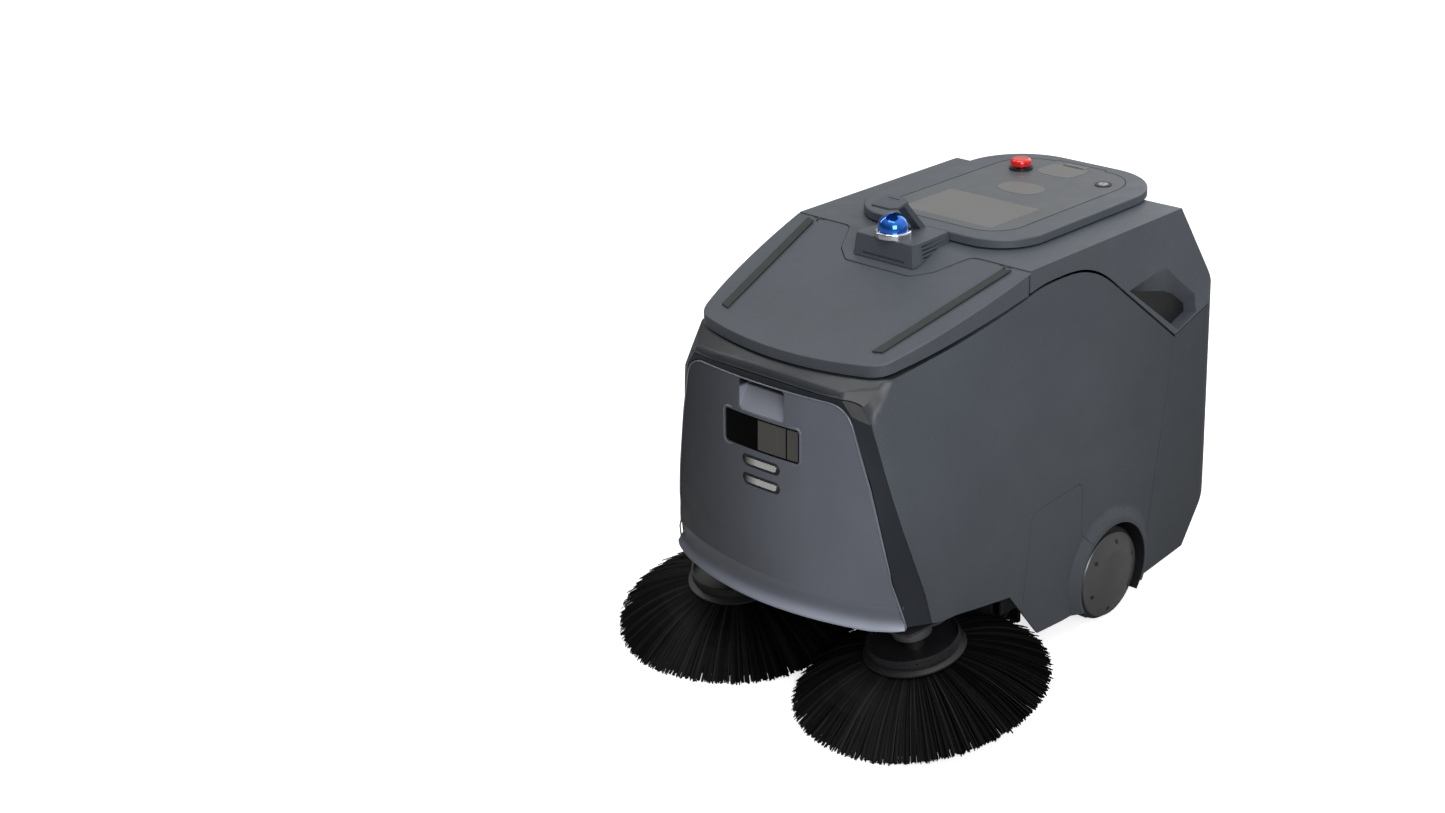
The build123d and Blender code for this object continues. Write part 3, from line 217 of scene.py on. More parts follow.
FINISHES = {
    # painted shade: darker on faces that look up near the front, towards the rear and towards the bottom
    "side_plastic": dict(
        colour=(0.064, 0.074, 0.089), rough=0.42, cloud=0.05, speckle=0.25, bump=0.00004, dim_up=0.35,
        painted_shade_ramps=(("Y", 0.34, -0.05, 0.6), ("Z", 0.05, 0.5, 0.75))),
    # painted shade: darker towards the front
    "top_plastic": dict(
        colour=(0.078, 0.09, 0.107), rough=0.46, cloud=0.05, speckle=0.5, speckle_scale=900,
        bump=0.00009, painted_shade_ramps=(("Y", -0.45, 0.2, 0.75),)),
    # painted shade: darker and less reflective towards the machine's right (-X)
    "front_plastic": dict(
        colour=(0.165, 0.178, 0.215), rough=0.36, metal=0.3, cloud=0.04, coat=0.08, bump=0.00002,
        bevel=0, painted_shade_ramps=(("X", -0.25, 0.10, 0.08),), specular_ramp=(-0.25, 0.1, 0.05, 0.5)),
    "bumper_plastic": dict(
        colour=(0.125, 0.135, 0.165), rough=0.3, metal=0.3, cloud=0.05, coat=0.3, bump=0.00002),
    # painted shade on faces that look up near the front
    "facet_plastic": dict(
        colour=(0.015, 0.018, 0.025), rough=0.4, dim_up=0.15, cloud=0.06, bump=0.00004, specular=0.3),
    "dark_plastic": dict(colour=(0.012, 0.0125, 0.014), rough=0.42, cloud=0.12, bump=0.00006),
    "grip_rubber": dict(
        colour=(0.022, 0.026, 0.026), rough=0.72, cloud=0.1, speckle=0.5, bump=0.0002, grain=900),
    "skirt_rubber": dict(colour=(0.02, 0.02, 0.02), rough=0.7, cloud=0.15, bump=0.0001, bevel=0),
    "tyre_rubber": dict(colour=(0.018, 0.018, 0.018), rough=0.68, cloud=0.2, bump=0.00025, grain=500),
    "bristle": dict(
        colour=(0.003, 0.003, 0.0033), rough=0.6, cloud=0.35, bump=0.00003, bevel=0, edge=0),
    "filament": dict(
        colour=(0.0012, 0.0012, 0.0013), rough=0.5, cloud=0.2, bump=0.00002, bevel=0, edge=0,
        specular=0.1, shade="shade", shade_gain=11.0),
    "hub_metal": dict(
        colour=(0.13, 0.131, 0.135), rough=0.34, metal=0.75, cloud=0.1, bump=0.00003, grain=2200),
    "frame_steel": dict(colour=(0.03, 0.03, 0.033), rough=0.55, metal=0.2, cloud=0.15, bump=0.0001),
    "bare_steel": dict(colour=(0.5, 0.5, 0.51), rough=0.3, metal=1.0, bump=0.00005, stretch=(1, 1, 12)),
    "chrome": dict(
        colour=(0.78, 0.8, 0.83), rough=0.1, metal=1.0, cloud=0.04, rough_spread=0.03, bump=0.00001),
    # painted shade: darker towards the machine's right end (-X)
    "contact_metal": dict(
        colour=(0.9, 0.9, 0.9), rough=0.24, metal=1.0, cloud=0.04, bump=0.00002, stretch=(0.1, 1, 1),
        painted_shade_ramps=(("X", -0.034, -0.008, 0.1),)),
    "window_glass": dict(
        colour=(0.002, 0.002, 0.002), rough=0.07, cloud=0.1, rough_spread=0.03, specular=0.03,
        bump=0.000004, bevel=0),
    "dome_glass": dict(
        colour=(0.015, 0.2, 0.95), rough=0.06, metal=0.85, cloud=0.1, rough_spread=0.02, coat=1.0,
        bump=0.000004, bevel=0),
    "screen_glass": dict(colour=(0.102, 0.1, 0.098), rough=0.22, cloud=0.05, coat=0.6, bump=0.00001),
    "panel_plastic": dict(
        colour=(0.088, 0.096, 0.106), rough=0.45, cloud=0.05, speckle=0.4, bump=0.00006),
    "stop_red": dict(colour=(0.72, 0.006, 0.004), rough=0.2, cloud=0.08, coat=0.8, bump=0.00001),
    "bin_plastic": dict(colour=(0.045, 0.05, 0.056), rough=0.5, cloud=0.12, bump=0.00006),
    "filter_paper": dict(
        colour=(0.68, 0.65, 0.58), rough=0.85, cloud=0.12, bump=0.0002, grain=700, bevel=0),
    "motor_metal": dict(colour=(0.3, 0.31, 0.32), rough=0.4, metal=0.9, cloud=0.15, bump=0.0001),
    "belt_rubber": dict(colour=(0.016, 0.016, 0.016), rough=0.7, cloud=0.15, bump=0.0001),
    # painted highlight from the shade attribute, and painted shade towards the machine's right (-X)
    "lip_plastic": dict(
        colour=(0.15, 0.162, 0.197), rough=0.36, metal=0.3, cloud=0.04, coat=0.08, bump=0.00002,
        bevel=0, shade="shade", shade_gain=2.5, painted_shade_ramps=(("X", -0.25, 0.10, 0.45),)),
    # a lit copy of the door plastic, a painted highlight, with a painted shadow along the top of the handle
    "handle_lit_plastic": dict(
        colour=(0.30, 0.318, 0.375), rough=0.36, metal=0.2, cloud=0.05, coat=0.1, bump=0.00002,
        painted_shade_ramps=(("Z", HANDLE_TOP - 0.016, HANDLE_TOP - 0.021, 0.03),)),
    "rim_plastic": dict(
        colour=(0.2, 0.215, 0.25), rough=0.28, metal=0.4, cloud=0.04, coat=0.3, bump=0.00001, bevel=0),
    "tint_glass": dict(
        colour=(0.055, 0.052, 0.048), rough=0.16, cloud=0.06, coat=0.6, bump=0.000005, bevel=0),
    "tint_line": dict(colour=(0.12, 0.115, 0.11), rough=0.3, cloud=0.06, bump=0.000005, bevel=0),
    # near black: painted shade in the groove round the control panel and in the wheel caps' holes
    "painted_gap_shade": dict(colour=(0.006, 0.006, 0.007), rough=0.6, cloud=0.1, bump=0.00003, bevel=0),
    "battery_case": dict(colour=(0.022, 0.026, 0.05), rough=0.5, cloud=0.12, bump=0.00008),
}
finishes = {name: Finish(name, **spec).mat for name, spec in FINISHES.items()}


def paint(obj, name):
    """Give a piece its finish, and its slot unless it is a CAD node, which has one already."""
    obj.data.materials.clear()
    obj.data.materials.append(finishes[name])


for row in record["subparts"]:
    paint(nodes[row["node"]], row["material_slot"])


# ---------------------------------------------------------------- mesh helpers
def piece(name, verts, faces, body, finish, smooth=40.0):
    """A mesh from points and faces that rides on a CAD body."""
    mesh = bpy.data.meshes.new(name)
    mesh.from_pydata([tuple(v) for v in verts], [], faces)
    mesh.update()
    shell = bmesh.new()
    shell.from_mesh(mesh)
    bmesh.ops.recalc_face_normals(shell, faces=shell.faces)
    shell.to_mesh(mesh)
    shell.free()
    obj = bpy.data.objects.new(name, mesh)
    bpy.context.scene.collection.objects.link(obj)
    if smooth:
        mesh.shade_smooth()
        mesh.set_sharp_from_angle(angle=math.radians(smooth))
    paint(obj, finish)
    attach(obj, body)
    return obj


def tube(rings, count, first=0, closed=False):
    """Faces that join rings of count points; the ends are capped unless the tube closes on itself."""
    faces = []
    for ring in range(rings if closed else rings - 1):
        near = first + ring * count
        far = first + (ring + 1) % rings * count
        for k in range(count):
            n = (k + 1) % count
            faces.append((near + k, near + n, far + n, far + k))
    if not closed:
        faces.append(tuple(reversed(range(first, first + count))))
        faces.append(tuple(range(first + (rings - 1) * count, first + rings * count)))
    return faces


def sweep(path, section, closed=False):
    """Points and faces of a section carried along frames (origin, across, up)."""
    verts = []
    for origin, across, up in path:
        verts += [origin + across * a + up * b for a, b in section]
    return verts, tube(len(path), len(section), closed=closed)


def set_shade(obj, values):
    """Store a tone for each point, which the finish of the piece reads."""
    obj.data.attributes.new("shade", "FLOAT", "POINT").data.foreach_set("value", values)


def tree_of(*names):
    """Ray target made of CAD nodes."""
    verts, faces = [], []
    for name in names:
        mesh = nodes[name].data
        start = len(verts)
        verts += [v.co.copy() for v in mesh.vertices]
        faces += [tuple(start + i for i in p.vertices) for p in mesh.polygons]
    return BVHTree.FromPolygons(verts, faces)


def hit(tree, origin, direction):
    """Where a ray first meets a CAD surface, and the surface's normal towards the ray."""
    point, normal, _, _ = tree.ray_cast(Vector(origin), Vector(direction))
    if point is None:
        return None
    return point, normal if normal.dot(Vector(direction)) < 0 else -normal


# ---------------------------------------------------------------- side brushes
joints = {j["name"]: j for j in frame["joints"]}
# A brush: heights run along its spin axis from the joint's place, radii out from the axis.
BUNDLES, PER_BUNDLE, STEPS = 150, 16, 6
SIDES_OF_STRAND = 3
GROUPS = 46                             # groups of bundles, with a sunken gap of painted shade between neighbours
# share of a group in the gap, the painted shade left there, and how far the gap's strands sink
GAP_SHARE, GAP_PAINTED_SHADE, GAP_DROP = 0.2, 0.03, 0.0025
SPREAD = 0.6                            # how far a strand strays sideways, in bundle widths
ROOT_SPREAD = 0.5                       # share of that stray at the collar
ROOT_R, ROOT_WIDTH, ROOT_H = 0.066, 0.019, 0.084
TIP_R, TIP_WIDTH = 0.206, 0.016
TIP_H, TIP_RISE = 0.006, 0.012
BULGE, BULGE_RISE = 0.007, 0.003
TURN_JITTER, TIP_JITTER = 0.004, 0.0016
THIN, THICK = 0.0011, 0.0016
LOWEST = 0.0012                         # no filament goes below this height over the floor
# a dark cone under the strands, in the filament colour: painted shade between them
SHADE_CONE_SECTION = ((0.064, 0.080), (0.084, 0.0815), (0.120, 0.064), (0.160, 0.0385), (0.192, 0.0135),
               (0.190, 0.0115), (0.158, 0.0355), (0.118, 0.061), (0.083, 0.078), (0.064, 0.0765))
SHADE_CONE_TURNS, SHADE_CONE_DROP = 96, 0.005


def filaments(word):
    """Bundles of nylon filaments that flare out from the collar to the floor, over a dark cone in the
    filament colour that paints the shade between them.
    """
    joint = joints[word + "_brush_spin"]
    axis = Vector(joint["axis"])
    base = Vector(joint["pos_m"])
    across = axis.orthogonal().normalized()
    second = axis.cross(across)
    verts, faces, shades = [], [], []

    def outwards(angle):
        return across * math.cos(angle) + second * math.sin(angle)

    def add_strand(bundle, row):
        spread = rng.uniform(-SPREAD, SPREAD)
        start_angle = (bundle + 0.5 + spread * ROOT_SPREAD) * math.tau / BUNDLES
        end_angle = (bundle + 0.5 + spread) * math.tau / BUNDLES + rng.gauss(0, TURN_JITTER)
        start_r = ROOT_R + ROOT_WIDTH * row
        end_r = TIP_R + TIP_WIDTH * row + rng.gauss(0, TIP_JITTER)
        end_h = TIP_H + TIP_RISE * row + rng.gauss(0, TIP_JITTER)
        bulge = BULGE + BULGE_RISE * row
        thick = rng.uniform(THIN, THICK)
        # strands in the gap between groups get painted shade
        in_gap = end_angle / math.tau * GROUPS % 1.0 < GAP_SHARE
        tone = rng.random() ** 2 * (GAP_PAINTED_SHADE if in_gap else 1.0)
        shades.extend([tone] * (SIDES_OF_STRAND * STEPS))
        faces.extend(tube(STEPS, SIDES_OF_STRAND, len(verts)))
        for step in range(STEPS):
            t = step / (STEPS - 1)
            out = outwards(start_angle + (end_angle - start_angle) * t)
            radius = start_r + (end_r - start_r) * t
            height = ROOT_H + (end_h - ROOT_H) * t + bulge * math.sin(math.pi * t)
            height -= GAP_DROP * t if in_gap else 0.0
            turn = axis.cross(out)
            centre = base + out * radius + axis * height
            centre.z = max(centre.z, LOWEST)
            for corner in range(SIDES_OF_STRAND):
                a = corner * math.tau / SIDES_OF_STRAND
                verts.append(centre + (turn * math.cos(a) + axis * math.sin(a)) * thick)

    for bundle in range(BUNDLES):
        for strand in range(PER_BUNDLE):
            add_strand(bundle, strand / (PER_BUNDLE - 1))
    faces.extend(tube(SHADE_CONE_TURNS, len(SHADE_CONE_SECTION), len(verts), closed=True))
    for index in range(SHADE_CONE_TURNS):
        out = outwards(math.tau * index / SHADE_CONE_TURNS)
        for radius, height in SHADE_CONE_SECTION:
            spot = base + out * radius + axis * (height - SHADE_CONE_DROP)
            spot.z = max(spot.z, LOWEST)
            verts.append(spot)
            shades.append(0.0)
    obj = piece(f"{word}_brush_filaments", verts, faces, f"{word}_brush", "filament", smooth=0)
    set_shade(obj, shades)
    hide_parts(f"{word}_brush_bristles")


for _, word in SIDES:
    filaments(word)


# ---------------------------------------------------------------- front door details
door_tree = tree_of("door_panel", "door_bumper")
FRONT = Vector((0, 1, 0))


AHEAD = -1.0                    # rays start here, well in front of the machine
DOOR_X, DOOR_Z = 0.0, 0.40      # the middle that the door's outline is searched from
SEARCH_RADIUS, SEARCH_STEP, HALVINGS = 0.42, 0.001, 7
RIM_INSET = 0.0013
RIM_SECTION = [(-0.0013, -0.001), (-0.0011, 0.0008), (-0.0004, 0.0014), (0.0004, 0.0014),
               (0.0011, 0.0008), (0.0013, -0.001)]


def door_hit(x, z, tree=door_tree):
    return hit(tree, (x, AHEAD, z), FRONT)


def door_edge(angle):
    """Outermost point of the door in the front view, at an angle round its middle."""
    step = Vector((math.cos(angle), math.sin(angle)))
    radius = SEARCH_RADIUS
    while not door_hit(DOOR_X + step.x * radius, DOOR_Z + step.y * radius):
        radius -= SEARCH_STEP
    low, high = radius, radius + SEARCH_STEP
    for _ in range(HALVINGS):
        middle = (low + high) / 2
        if door_hit(DOOR_X + step.x * middle, DOOR_Z + step.y * middle):
            low = middle
        else:
            high = middle
    return DOOR_X + step.x * (low - RIM_INSET), DOOR_Z + step.y * (low - RIM_INSET)


def surface_path(points, tree):
    """Frames along points on a front surface: origin, across the path, and outwards."""
    spots = []
    for x, z in points:
        found = door_hit(x, z, tree)
        if found:
            spots.append(found)
    frames = []
    for i, (point, normal) in enumerate(spots):
        along = (spots[min(i + 1, len(spots) - 1)][0] - spots[max(i - 1, 0)][0]).normalized()
        frames.append((point, along.cross(normal).normalized(), normal))
    return frames


RIM_STEPS = 150
RIM_START, RIM_TURN = -38, 256      # degrees, anticlockwise from +X in the front view
rim_points = []
for i in range(RIM_STEPS + 1):
    rim_points.append(door_edge(math.radians(RIM_START + RIM_TURN * i / RIM_STEPS)))
verts, faces = sweep(surface_path(rim_points, door_tree), RIM_SECTION)
piece("door_rim", verts, faces, "drawer", "rim_plastic", smooth=60)

# The bumper's section from its top seam to the lip along its lower edge: share of the height, and
# distance out.
BUMPER_SECTION = [(1.0, -0.0024), (0.86, -0.0025), (0.70, -0.0032), (0.56, -0.0038), (0.45, -0.0030),
                  (0.35, -0.0008), (0.25, 0.0028), (0.16, 0.0066), (0.09, 0.0098), (0.045, 0.0112),
                  (0.015, 0.0108), (0.0, 0.0092), (0.0, -0.0064), (1.0, -0.0064)]
BUMPER_TOP = 0.2308
BUMPER_HALF = 0.2605
BUMPER_COLUMNS = 96
PROBE_Z, PROBE_TOP, PROBE_FOOT = 0.205, 0.228, 0.003    # where rays meet the CAD bumper
END_TAPER = 0.017               # share of its width that the bumper loses at its top seam
LIP_FADE, LIP_FADE_FROM = 0.4, 0.235                    # the lip stands out less beyond this x
EDGE_LOW, EDGE_RISE = 0.1838, 0.0095                    # the lower edge's height, and its rise
EDGE_Y, EDGE_RUN = -0.577, 0.028                        # the rise starts here and takes this long
LIP_HIGHLIGHT_FROM, LIP_HIGHLIGHT_RUN = 0.0036, 0.0130                  # painted highlight grows with the distance out
LIP_HIGHLIGHT_FAR, LIP_HIGHLIGHT_GAIN = 0.55, 0.45                      # and towards the machine's left
bumper_tree = tree_of("door_bumper")


def clamp(value):
    return max(0.0, min(1.0, value))


def lower_edge(y):
    """Height of the bumper's lower edge at a given y."""
    return EDGE_LOW + clamp((y - EDGE_Y) / EDGE_RUN) * EDGE_RISE


verts, flare = [], []
for i in range(BUMPER_COLUMNS + 1):
    x = -BUMPER_HALF + 2 * BUMPER_HALF * i / BUMPER_COLUMNS
    point, normal = door_hit(x, PROBE_Z, bumper_tree)
    outwards = Vector((normal.x, normal.y, 0)).normalized()
    beyond = max(0.0, (abs(x) - LIP_FADE_FROM) / (BUMPER_HALF - LIP_FADE_FROM))
    lip_share = 1.0 - LIP_FADE * beyond ** 2
    base = lower_edge(point.y)
    for share, out in BUMPER_SECTION:
        spot = Vector((point.x, point.y, base + (BUMPER_TOP - base) * share))
        level = door_hit(x, min(max(spot.z, base + PROBE_FOOT), PROBE_TOP), bumper_tree)
        spot.y = (level[0] if level else point).y
        spot.x *= 1.0 - END_TAPER * share
        verts.append(spot + outwards * (out * (lip_share if out > 0 else 1.0)))
        # painted highlight on the lip, stronger where it stands out and towards the machine's left
        side_share = LIP_HIGHLIGHT_FAR + LIP_HIGHLIGHT_GAIN * i / BUMPER_COLUMNS
        flare.append(clamp((out + LIP_HIGHLIGHT_FROM) / LIP_HIGHLIGHT_RUN) * side_share)
faces = tube(BUMPER_COLUMNS + 1, len(BUMPER_SECTION))
bumper = piece("bumper_lip", verts, faces, "drawer", "lip_plastic", smooth=50)
set_shade(bumper, flare)
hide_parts("door_bumper")
# the handle takes the lit copy: painted highlight and a painted shadow along its top
paint(nodes["door_handle"], "handle_lit_plastic")


def rounded(half_x, half_y, corner, steps=8):
    """Points round a rounded rectangle, anticlockwise."""
    points = []
    for cx, cy, start in ((1, 1, 0), (-1, 1, 90), (-1, -1, 180), (1, -1, 270)):
        for k in range(steps + 1):
            a = math.radians(start + 90 * k / steps)
            points.append((cx * (half_x - corner) + corner * math.cos(a),
                           cy * (half_y - corner) + corner * math.sin(a)))
    return points


WINDOW_Z, WINDOW_HALF_X, WINDOW_HALF_Z = 0.4775, 0.083, 0.029
FRAME_OUT, FRAME_CORNER = 0.0036, 0.010
FRAME_SECTION = [(-0.002, -0.001), (-0.0017, 0.0008), (0.0009, 0.0008), (0.0019, -0.001)]
frame_outline = rounded(WINDOW_HALF_X + FRAME_OUT, WINDOW_HALF_Z + FRAME_OUT, FRAME_CORNER)
spots = [door_hit(x, WINDOW_Z + z) for x, z in frame_outline]
frames = []
for i, (point, normal) in enumerate(spots):
    along = (spots[(i + 1) % len(spots)][0] - spots[i - 1][0]).normalized()
    frames.append((point, along.cross(normal).normalized(), normal))
verts, faces = sweep(frames, FRAME_SECTION, closed=True)
piece("window_frame", verts, faces, "drawer", "rim_plastic", smooth=60)

window_tree = tree_of("camera_window")
TINT_LIFT, LINE_LIFT, PLATE_FOOT = 0.0004, 0.0006, -0.0004


def window_plate(name, x0, x1, z0, z1, lift, finish, columns=10, rows=4):
    """A thin curved plate on the window glass."""
    verts, faces = [], []
    for height in (lift, PLATE_FOOT):
        for r in range(rows + 1):
            for c in range(columns + 1):
                x, z = x0 + (x1 - x0) * c / columns, z0 + (z1 - z0) * r / rows
                point, normal = door_hit(x, z, window_tree)
                verts.append(point + normal * height)
    layer = (rows + 1) * (columns + 1)
    across = columns + 1
    for r in range(rows):
        for c in range(columns):
            a = r * across + c
            quad = (a, a + 1, a + 1 + across, a + across)
            faces.append(quad)
            faces.append(tuple(layer + v for v in reversed(quad)))
    ring = [*range(across)]
    ring += [r * across + columns for r in range(1, rows + 1)]
    ring += [rows * across + c for c in range(columns - 1, -1, -1)]
    ring += [r * across for r in range(rows - 1, 0, -1)]
    for i, a in enumerate(ring):
        b = ring[(i + 1) % len(ring)]
        faces.append((b, a, layer + a, layer + b))
    return piece(name, verts, faces, "drawer", finish, smooth=40)


TINT_INSET = 0.0035
LINE_FOOT, LINE_TOP = 0.005, 0.004
low, high = WINDOW_Z - WINDOW_HALF_Z + TINT_INSET, WINDOW_Z + WINDOW_HALF_Z - TINT_INSET
window_plate("window_tint", x0=-0.006, x1=0.0545, z0=low, z1=high, lift=TINT_LIFT, finish="tint_glass")
window_plate("window_tint_end", x0=0.0575, x1=0.0795, z0=low, z1=high, lift=TINT_LIFT,
             finish="tint_glass")
window_plate("window_inner_line", x0=0.0365, x1=0.0372, z0=low + LINE_FOOT, z1=high - LINE_TOP,
             lift=LINE_LIFT, finish="tint_line", columns=1)

# ---------------------------------------------------------------- lid details
# The control panel's top: its height at y = 0 and its rise along Y.
LID_TOP, LID_RISE = 0.742, 0.019
LID_NORMAL = Vector((0, -LID_RISE, 1)).normalized()
PATCH_LIFT, PATCH_FOOT = 0.0004, -0.0002


def lid_point(x, y, lift):
    return Vector((x, y, LID_TOP + LID_RISE * y)) + LID_NORMAL * lift


def lid_patch(name, outline):
    """A thin raised patch on the control panel."""
    top = [lid_point(x, y, PATCH_LIFT) for x, y in outline]
    foot = [lid_point(x, y, PATCH_FOOT) for x, y in outline]
    count = len(outline)
    faces = [tuple(range(count)), tuple(reversed(range(count, 2 * count)))]
    faces += [(i, i + count, (i + 1) % count + count, (i + 1) % count) for i in range(count)]
    piece(name, top + foot, faces, "lid", "screen_glass", smooth=40)


def superellipse(cx, cy, half_x, half_y, power, steps=72):
    points = []
    for k in range(steps):
        a = math.tau * k / steps
        c, s = math.cos(a), math.sin(a)
        points.append((cx + half_x * math.copysign(abs(c) ** (2 / power), c),
                       cy + half_y * math.copysign(abs(s) ** (2 / power), s)))
    return points


SMALL_X, SMALL_Y = -0.007, 0.2335
small_patch = rounded(half_x=0.024, half_y=0.0105, corner=0.002, steps=3)
lid_patch("lid_oval_patch", superellipse(cx=-0.003, cy=0.066, half_x=0.045, half_y=0.032, power=2.3))
lid_patch("lid_round_patch", superellipse(cx=-0.010, cy=0.196, half_x=0.042, half_y=0.036, power=3.2))
lid_patch("lid_small_patch", [(x + SMALL_X, y + SMALL_Y) for x, y in small_patch])

PANEL_HALF, PANEL_FRONT, PANEL_REAR = 0.137, -0.170, 0.240
FRONT_CORNER, REAR_CORNER, CORNER_STEPS = 0.062, 0.076, 14
TAB_LEFT, TAB_RIGHT, TAB_LENGTH = 0.053, -0.059, 0.007
PANEL_GAP = 0.0005
# section of the dark strip of painted shade in the groove
GROOVE_SHADE_SECTION = [(-0.0011, -0.002), (-0.0011, 0.0002), (0.0011, 0.0002), (0.0011, -0.002)]


def panel_groove():
    """Closed outline of the groove round the control panel, with the tab at its rear."""
    tab_rear = PANEL_REAR + TAB_LENGTH + PANEL_GAP
    tab = [(TAB_LEFT + PANEL_GAP, PANEL_REAR + PANEL_GAP), (TAB_LEFT + PANEL_GAP, tab_rear),
           (TAB_RIGHT - PANEL_GAP, tab_rear), (TAB_RIGHT - PANEL_GAP, PANEL_REAR + PANEL_GAP)]

    def corner(x, y, radius, start):
        cx, cy = x - math.copysign(radius, x), y + (radius if y < 0 else -radius)
        turns = [math.radians(start + 90 * k / CORNER_STEPS) for k in range(CORNER_STEPS + 1)]
        reach = radius + PANEL_GAP
        return [(cx + reach * math.cos(a), cy + reach * math.sin(a)) for a in turns]

    return [*corner(PANEL_HALF, PANEL_FRONT, FRONT_CORNER, 270),
            *corner(PANEL_HALF, PANEL_REAR, REAR_CORNER, 0), *tab,
            *corner(-PANEL_HALF, PANEL_REAR, REAR_CORNER, 90),
            *corner(-PANEL_HALF, PANEL_FRONT, FRONT_CORNER, 180)]


# a dark strip along the groove round the control panel: painted shade in the groove
groove = panel_groove()
frames = []
for i, (x, y) in enumerate(groove):
    ahead, behind = groove[(i + 1) % len(groove)], groove[i - 1]
    along = (lid_point(*ahead, 0) - lid_point(*behind, 0)).normalized()
    frames.append((lid_point(x, y, 0), along.cross(LID_NORMAL).normalized(), LID_NORMAL))
verts, faces = sweep(frames, GROOVE_SHADE_SECTION, closed=True)
piece("panel_groove_shade", verts, faces, "lid", "painted_gap_shade", smooth=40)

# ---------------------------------------------------------------- side panels
# The soft fold across each side panel: (y, z) along its crest line, and where it fades out.
CREASE = ((-0.30, 0.215), (-0.236, 0.258), (-0.16, 0.322), (-0.09, 0.372), (-0.02, 0.412),
          (0.082, 0.454), (0.16, 0.478))
FOLD_DEPTH = 0.006
FOLD_MIN_X = 0.235
FOLD_FRONT, FOLD_FULL_Y, FOLD_FADE_Y, FOLD_REAR = -0.27, -0.18, 0.06, 0.13
FOLD_FOOT, FOLD_FULL_Z, FOLD_TOP = 0.19, 0.26, 0.53
FOLD_BELOW, FOLD_ABOVE = -0.03, 0.012           # heights over the crest line
ARCH_Z, ARCH_CLEAR, ARCH_FULL = 0.096, 0.155, 0.22
COVER_FRONT, COVER_TOP, COVER_FADE = -0.275, 0.31, 0.05     # the service cover stays flat

CUT_SPACING = 0.012
CUTS = ((1, -0.61, 0.18), (2, 0.06, 0.68))      # axis, first plane, last plane
TOUCHING = 0.00002
FLAT_TURN = math.radians(0.3)
# Edges that turn less than this are shaded smooth; the limit is wider at the front shoulders.
SHARP_TURN, SOFT_TURN = math.radians(33), math.radians(56)
SHOULDER_Y, SHOULDER_Z, SHOULDER_X = -0.5, 0.42, 0.13


def crease(y):
    """Height of the soft fold across the side panel at a given y."""
    for (y0, z0), (y1, z1) in zip(CREASE, CREASE[1:]):
        if y <= y1:
            return z0 + (z1 - z0) * (y - y0) / (y1 - y0)
    return CREASE[-1][1]


def smoothstep(value, low, high):
    t = clamp((value - low) / (high - low))
    return t * t * (3 - 2 * t)


def fold_share(x, y, z):
    """How deep the fold is at a point of the side panel, from 0 to 1."""
    if abs(x) < FOLD_MIN_X or not FOLD_FRONT < y < FOLD_REAR or not FOLD_FOOT < z < FOLD_TOP:
        return 0.0
    share = 1 - smoothstep(z - crease(y), FOLD_BELOW, FOLD_ABOVE)
    share = share * smoothstep(z, FOLD_FOOT, FOLD_FULL_Z) * smoothstep(y, FOLD_FRONT, FOLD_FULL_Y)
    share *= 1 - smoothstep(y, FOLD_FADE_Y, FOLD_REAR)
    share *= smoothstep(math.hypot(y, z - ARCH_Z), ARCH_CLEAR, ARCH_FULL)
    if y > COVER_FRONT:
        share *= smoothstep(z, COVER_TOP, COVER_TOP + COVER_FADE)
    return share


mesh = nodes["body_shell"].data.copy()
shell = bmesh.new()
shell.from_mesh(mesh)
bmesh.ops.remove_doubles(shell, verts=shell.verts, dist=TOUCHING)
bmesh.ops.dissolve_limit(shell, angle_limit=FLAT_TURN, verts=shell.verts, edges=shell.edges)
for axis, value, last in CUTS:
    while value <= last:
        place, normal = [0, 0, 0], [0, 0, 0]
        place[axis], normal[axis] = value, 1
        geometry = shell.verts[:] + shell.edges[:] + shell.faces[:]
        bmesh.ops.bisect_plane(shell, geom=geometry, dist=TOUCHING, plane_co=place, plane_no=normal)
        value += CUT_SPACING
for v in shell.verts:
    v.co.x += -math.copysign(FOLD_DEPTH, v.co.x) * fold_share(*v.co)
bmesh.ops.triangulate(shell, faces=[f for f in shell.faces if len(f.verts) > 4])
for face in shell.faces:
    face.smooth = True
for edge in shell.edges:
    x, y, z = (edge.verts[0].co + edge.verts[1].co) / 2
    on_shoulder = y < SHOULDER_Y and z > SHOULDER_Z and abs(x) > SHOULDER_X
    limit = SOFT_TURN if on_shoulder else SHARP_TURN
    edge.smooth = len(edge.link_faces) == 2 and edge.calc_face_angle(0) < limit
shell.to_mesh(mesh)
shell.free()
panels = bpy.data.objects.new("side_panels", mesh)
bpy.context.scene.collection.objects.link(panels)
paint(panels, "side_plastic")
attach(panels, "root")
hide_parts("body_shell")

# ---------------------------------------------------------------- wheel wells
WHEEL_Z = 0.092
WELL_PROFILE = [(0.2755, 0.0966), (0.206, 0.0966), (0.2045, 0.095), (0.2045, 0.012), (0.2030, 0.012),
                (0.2030, 0.0955), (0.2055, 0.0981), (0.2755, 0.0981)]
WELL_START, WELL_END, WELL_STEPS = -38.0, 218.0, 72


def wheel_well(side, word):
    """A dark liner behind and round the drive wheel."""
    path = []
    for k in range(WELL_STEPS + 1):
        a = math.radians(WELL_START + (WELL_END - WELL_START) * k / WELL_STEPS)
        spoke = Vector((0, math.cos(a), math.sin(a)))
        path.append((Vector((0, 0, WHEEL_Z)), Vector((side, 0, 0)), spoke))
    verts, faces = sweep(path, WELL_PROFILE)
    piece(f"{word}_wheel_well", verts, faces, "root", "dark_plastic", smooth=40)


# ---------------------------------------------------------------- wheel caps
CAP_RINGS = ((0.2625, 0.0805), (0.2662, 0.0805), (0.2680, 0.0792), (0.2788, 0.0500), (0.2796, 0.0480))
CAP_TURNS = 96
